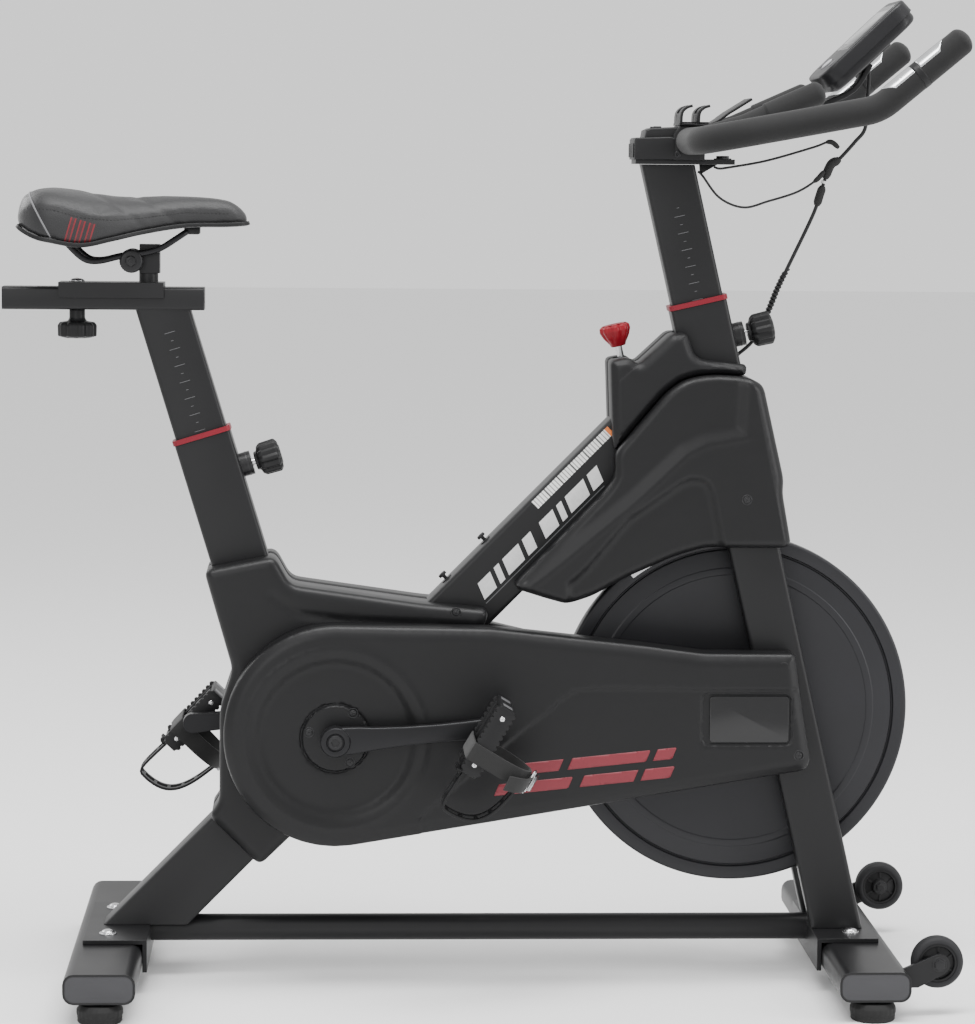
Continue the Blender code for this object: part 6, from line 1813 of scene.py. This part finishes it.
def ribbon(path, thickness):
    """Outline of a strip of even thickness along a side-view path."""
    left, right = [], []
    for k, here in enumerate(path):
        run = (path[min(k + 1, len(path) - 1)] - path[max(k - 1, 0)]).normalized()
        off = Vector((-run.z, 0, run.x)) * thickness / 2
        left.append((here.x + off.x, here.z + off.z))
        right.append((here.x - off.x, here.z - off.z))
    return left + right[::-1]


def flat_path(points):
    return catmull([from_bar(a, 0, up) for a, up in points], 4)


def make_bar_mount():
    """Clamp body round the bar and post, the console's arm and its seat, and their bolts."""
    bm = bmesh.new()

    def outline(*points):
        return [(BAR.x + a, BAR.z + up) for a, up in points]

    both_ways(bm, outline((-0.0610, -0.0265), (0.0530, -0.0265), (0.0530, -0.0205), (-0.0610, -0.0205)),
              0.030, 0.0012)
    both_ways(bm, outline((-0.0630, -0.0215), (-0.0150, -0.0215), (-0.0150, 0.0020), (-0.0200, 0.0050),
                          (-0.0610, 0.0036), (-0.0630, 0.0015)), 0.0340, 0.0022)
    both_ways(bm, outline((-0.0520, 0.0010), (0.0165, 0.0010), (0.0180, 0.0150), (0.0150, 0.0175),
                          (-0.0440, 0.0148), (-0.0500, 0.0120)), 0.0300, 0.0026)
    both_ways(bm, outline((-0.0190, -0.0220), (0.0180, -0.0220), (0.0180, 0.0080), (0.0110, 0.0176),
                          (-0.0110, 0.0176), (-0.0190, 0.0080)), 0.0338, 0.0020)
    for y in (-0.0240, -0.0080, 0.0080, 0.0240):
        box(bm, (BAR.x - 0.0645, y - 0.0050, BAR.z - 0.0190), (BAR.x - 0.0625, y + 0.0050, BAR.z - 0.0030),
            Matrix(),
            0.0006)
    arm = flat_path([(0.0160, -0.0040), (0.0750, 0.0020), (0.1500, 0.0400), (0.1900, 0.0600),
                     (0.2100, 0.0900)])
    both_ways(bm, ribbon(arm, 0.006), 0.016, 0.0012)
    box(bm, (-0.025, -0.018, -0.0183), (0.025, 0.018, -0.0143), CONSOLE_PLACE, 0.0010)
    both_ways(bm, outline((0.0150, -0.0240), (0.0160, -0.0380), (0.0400, -0.0240)), 0.0040, 0.0008)
    piece("bar_mount_body", bm, BLACK_PLASTIC, "handlebar", "bar_mount", slot="plastic_black", smooth=32)
    bolts = bmesh.new()
    for y in (-0.020, 0.020):
        socket_bolt(bolts, Matrix.Translation(from_bar(-0.036, y, 0.0138)), 0.0048, 0.0030)
    for y in (-0.020, 0.020):
        hex_bolt(bolts, Matrix.Translation(from_bar(0.042, y, -0.0206)), 0.0052, 0.0042, 0.0080)
    for side in (RIGHT, LEFT):
        for up in (-0.0150, 0.0115):
            socket_bolt(bolts, frame_along((0, side, 0),
                                           from_bar(-0.0135 if up < 0 else 0.0, side * 0.0336, up)),
                        0.0038, 0.0016)
    piece("bar_mount_bolts", bolts, SMALL_STEEL, "handlebar", slot="powder_coat")


def make_tablet_rest():
    """Tray with two rows of hooks and ribs across its floor."""
    base = 0.0178
    bm = bmesh.new()
    tray = [(-0.0120, base + 0.0015), (0.0240, base + 0.0015), (0.0460, base + 0.0150),
            (0.0710, base + 0.0306)]
    both_ways(bm, ribbon(flat_path(tray), 0.0028), 0.0360, 0.0008)
    for ahead in (-0.010, 0.010):
        hook = [(ahead, base + 0.001), (ahead + 0.001, base + 0.014), (ahead + 0.006, base + 0.0200),
                (ahead + 0.013, base + 0.0225)]
        outline = ribbon(flat_path(hook), 0.0030)
        both_ways(bm, outline, 0.0360, 0.0008, 0.0120)
        both_ways(bm, ribbon(flat_path(hook[:2]), 0.0030), 0.0125, 0.0002)
    for y in (-0.030, -0.015, 0.0, 0.015, 0.030):
        box(bm, (BAR.x - 0.0110, y - 0.0011, BAR.z + base + 0.0022),
            (BAR.x + 0.0220, y + 0.0011, BAR.z + base + 0.0042),
            Matrix(), 0.0004)
    piece("tablet_rest_tray", bm, BLACK_PLASTIC, "handlebar", "tablet_rest", slot="plastic_black", smooth=32)


CONSOLE_PLACE = Matrix.Translation((BAR.x + 0.2015, 0, 1.083)) @ Matrix.Rotation(radians(-43.5), 4, "Y")


def make_console():
    """Case, bezel, screen, two keys and the round push button."""
    place = CONSOLE_PLACE
    bm = bmesh.new()
    outline = [tuple(p) for p in round_box(-0.0650, -0.0620, 0.0650, 0.0620, 0.024, 8)]
    plate(bm, outline, -0.0030, 0.0138, place, 0.0035, 4)
    back = [(x * 0.965, y * 0.965) for x, y in outline]
    plate(bm, back, 0.0028, 0.0140, place @ Matrix.Rotation(pi, 4, "X"), 0.0060, 4)
    box(bm, (0.0440, -0.0100, -0.0185 + 0.0045), (0.0560, 0.0100, -0.0125), place, 0.0012)
    piece("console_shell", bm, CONSOLE_CASE, "handlebar", "console", slot="console_case", smooth=32)
    bm = bmesh.new()
    plate(bm, round_box(-0.0180, -0.0500, 0.0560, 0.0500, 0.010, 5), 0.0128, 0.0143, place, 0.0006)
    piece("console_bezel", bm, GLOSS_BLACK, "handlebar", slot="console_case")
    bm = bmesh.new()
    plate(bm, round_box(-0.0080, -0.0400, 0.0460, 0.0400, 0.003, 3), 0.0138, 0.0145, place, 0.0002)
    piece("console_screen", bm, SCREEN_GLASS, "handlebar")
    bm = bmesh.new()
    turned(bm, [(0.0103, 0.0120), (0.0106, 0.0138), (0.0096, 0.0143), (0.0086, 0.0138), (0.0084, 0.0100)],
           place @ Matrix.Translation((-0.042, 0, 0)), 48)
    for y in (-0.038, 0.038):
        plate(bm, round_box(-0.0480, y - 0.0100, -0.0360, y + 0.0100, 0.005, 5), 0.0130, 0.0143, place,
              0.0006)
    piece("console_keys", bm, CAP_GREY, "handlebar", slot="console_case")
    bm = bmesh.new()
    spot = place @ Matrix.Translation((-0.042, 0, 0))
    turned(bm, rounded([(0.0, 0.0158), (0.0060, 0.0158), (0.0079, 0.0150), (0.0079, 0.0118), (0.0, 0.0118)],
                       0.0005, 4),
           spot, 48)
    piece("console_push_button", bm, BUTTON_GREY, "console_button", "console_button", slot="button_grey")


# ---- cables
CONSOLE_CABLE = ((0.2076, 0.025, 0.0937), (0.2125, 0.025, 0.0885), (0.2140, 0.025, 0.0760),
                 (0.2130, 0.025, 0.0550), (0.2110, 0.025, 0.0180), (0.1990, 0.025, 0.0010),
                 (0.1810, 0.025, -0.0190), (0.1705, 0.025, -0.0270), (0.1600, 0.025, -0.0580),
                 (0.1510, 0.025, -0.0850), (0.1230, 0.025, -0.1450), (0.1110, 0.025, -0.1710),
                 (0.1000, 0.025, -0.1990), (0.0840, 0.025, -0.2300), (0.0660, 0.025, -0.2470),
                 (0.0600, 0.025, -0.2530))
PULSE_WIRE_UPPER = ((0.0330, 0.006, -0.0290), (0.0390, 0.007, -0.0310), (0.0530, 0.010, -0.0292),
                    (0.0960, 0.015, -0.0212), (0.1500, 0.019, -0.0055), (0.1690, 0.021, 0.0010),
                    (0.1800, 0.021, -0.0060))
PULSE_WIRE_LOWER = ((0.0128, -0.008, -0.0345), (0.0180, -0.008, -0.0390), (0.0390, -0.002, -0.0645),
                    (0.0680, 0.006, -0.0755), (0.0980, 0.013, -0.0680), (0.1310, 0.017, -0.0575),
                    (0.1530, 0.019, -0.0440), (0.1630, 0.020, -0.0330))


def length_of(path):
    return sum((b - a).length for a, b in zip(path, path[1:]))


def bend_with_post(obj):
    """Bakes the cable's placement into its mesh."""
    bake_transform(obj)


def on_cable(name, bm, material):
    bmesh.ops.recalc_face_normals(bm, faces=bm.faces)
    obj = to_object(name, bm, material, 35)
    bend_with_post(obj)
    return obj


def make_cables():
    """Console cable with its plugs and spiral wrap, and the two wires of the pulse plates."""
    route = even(catmull([from_bar(*p) for p in CONSOLE_CABLE], 8), 0.003)
    bm = bmesh.new()
    tube(bm, route, 0.0022, 14)
    cable = on_cable("console_lead", bm, CABLE_SHEATH)
    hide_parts("console_cable")
    bm = bmesh.new()
    near = [p for p in route if 0.742 < p.z < 0.826]
    pitch, per_turn = 0.0046, 10
    count = ceil(length_of(near) / pitch) * per_turn
    coil = []
    for k in range(count + 1):
        share = k / count * (len(near) - 1)
        spot = near[int(share)].lerp(near[min(int(share) + 1, len(near) - 1)], share - int(share))
        a = 2 * pi * k / per_turn
        coil.append(spot + Vector((cos(a) * 0.89, sin(a), cos(a) * 0.45)) * 0.0036)
    tube(bm, coil, 0.0013, 8, 1.5)
    wrap = on_cable("cable_wrap", bm, BLACK_PLASTIC)
    bm = bmesh.new()
    for low, high, radius in ((0.899, 0.9255, 0.0050), (0.9305, 0.956, 0.0054)):
        part = [p for p in route if low < p.z < high]
        tube(bm, even(part, 0.0015), lambda t, r=radius: r * (0.62 + 0.38 * min(1, 6 * t, 6 * (1 - t))), 20)
    plugs = on_cable("cable_plugs", bm, BLACK_RUBBER)
    bm = bmesh.new()
    part = [p for p in route if 0.9255 < p.z < 0.9305] or [p for p in route if 0.922 < p.z < 0.934][:3]
    tube(bm, part, 0.0037, 20)
    ring = on_cable("cable_ring", bm, WHITE_PRINT)
    length_of(route)
    for name, points in (("pulse_wire_upper", PULSE_WIRE_UPPER), ("pulse_wire_lower", PULSE_WIRE_LOWER)):
        path = even(catmull([from_bar(*p) for p in points], 8), 0.0025)
        bm = bmesh.new()
        tube(bm, path, 0.0014, 12)
        wire = piece(name + "_lead", bm, CABLE_SHEATH, "handlebar", name, slot="black_rubber")
        bm = bmesh.new()
        end = path[-8:]
        tube(bm, end, lambda t: 0.0030 * (0.6 + 0.4 * min(1, 5 * t, 5 * (1 - t))), 16)
        plug = piece(name + "_plug", bm, BLACK_RUBBER, "handlebar")
        length_of(path)


make_handlebar()
make_bar_mount()
make_tablet_rest()
make_console()
make_cables()
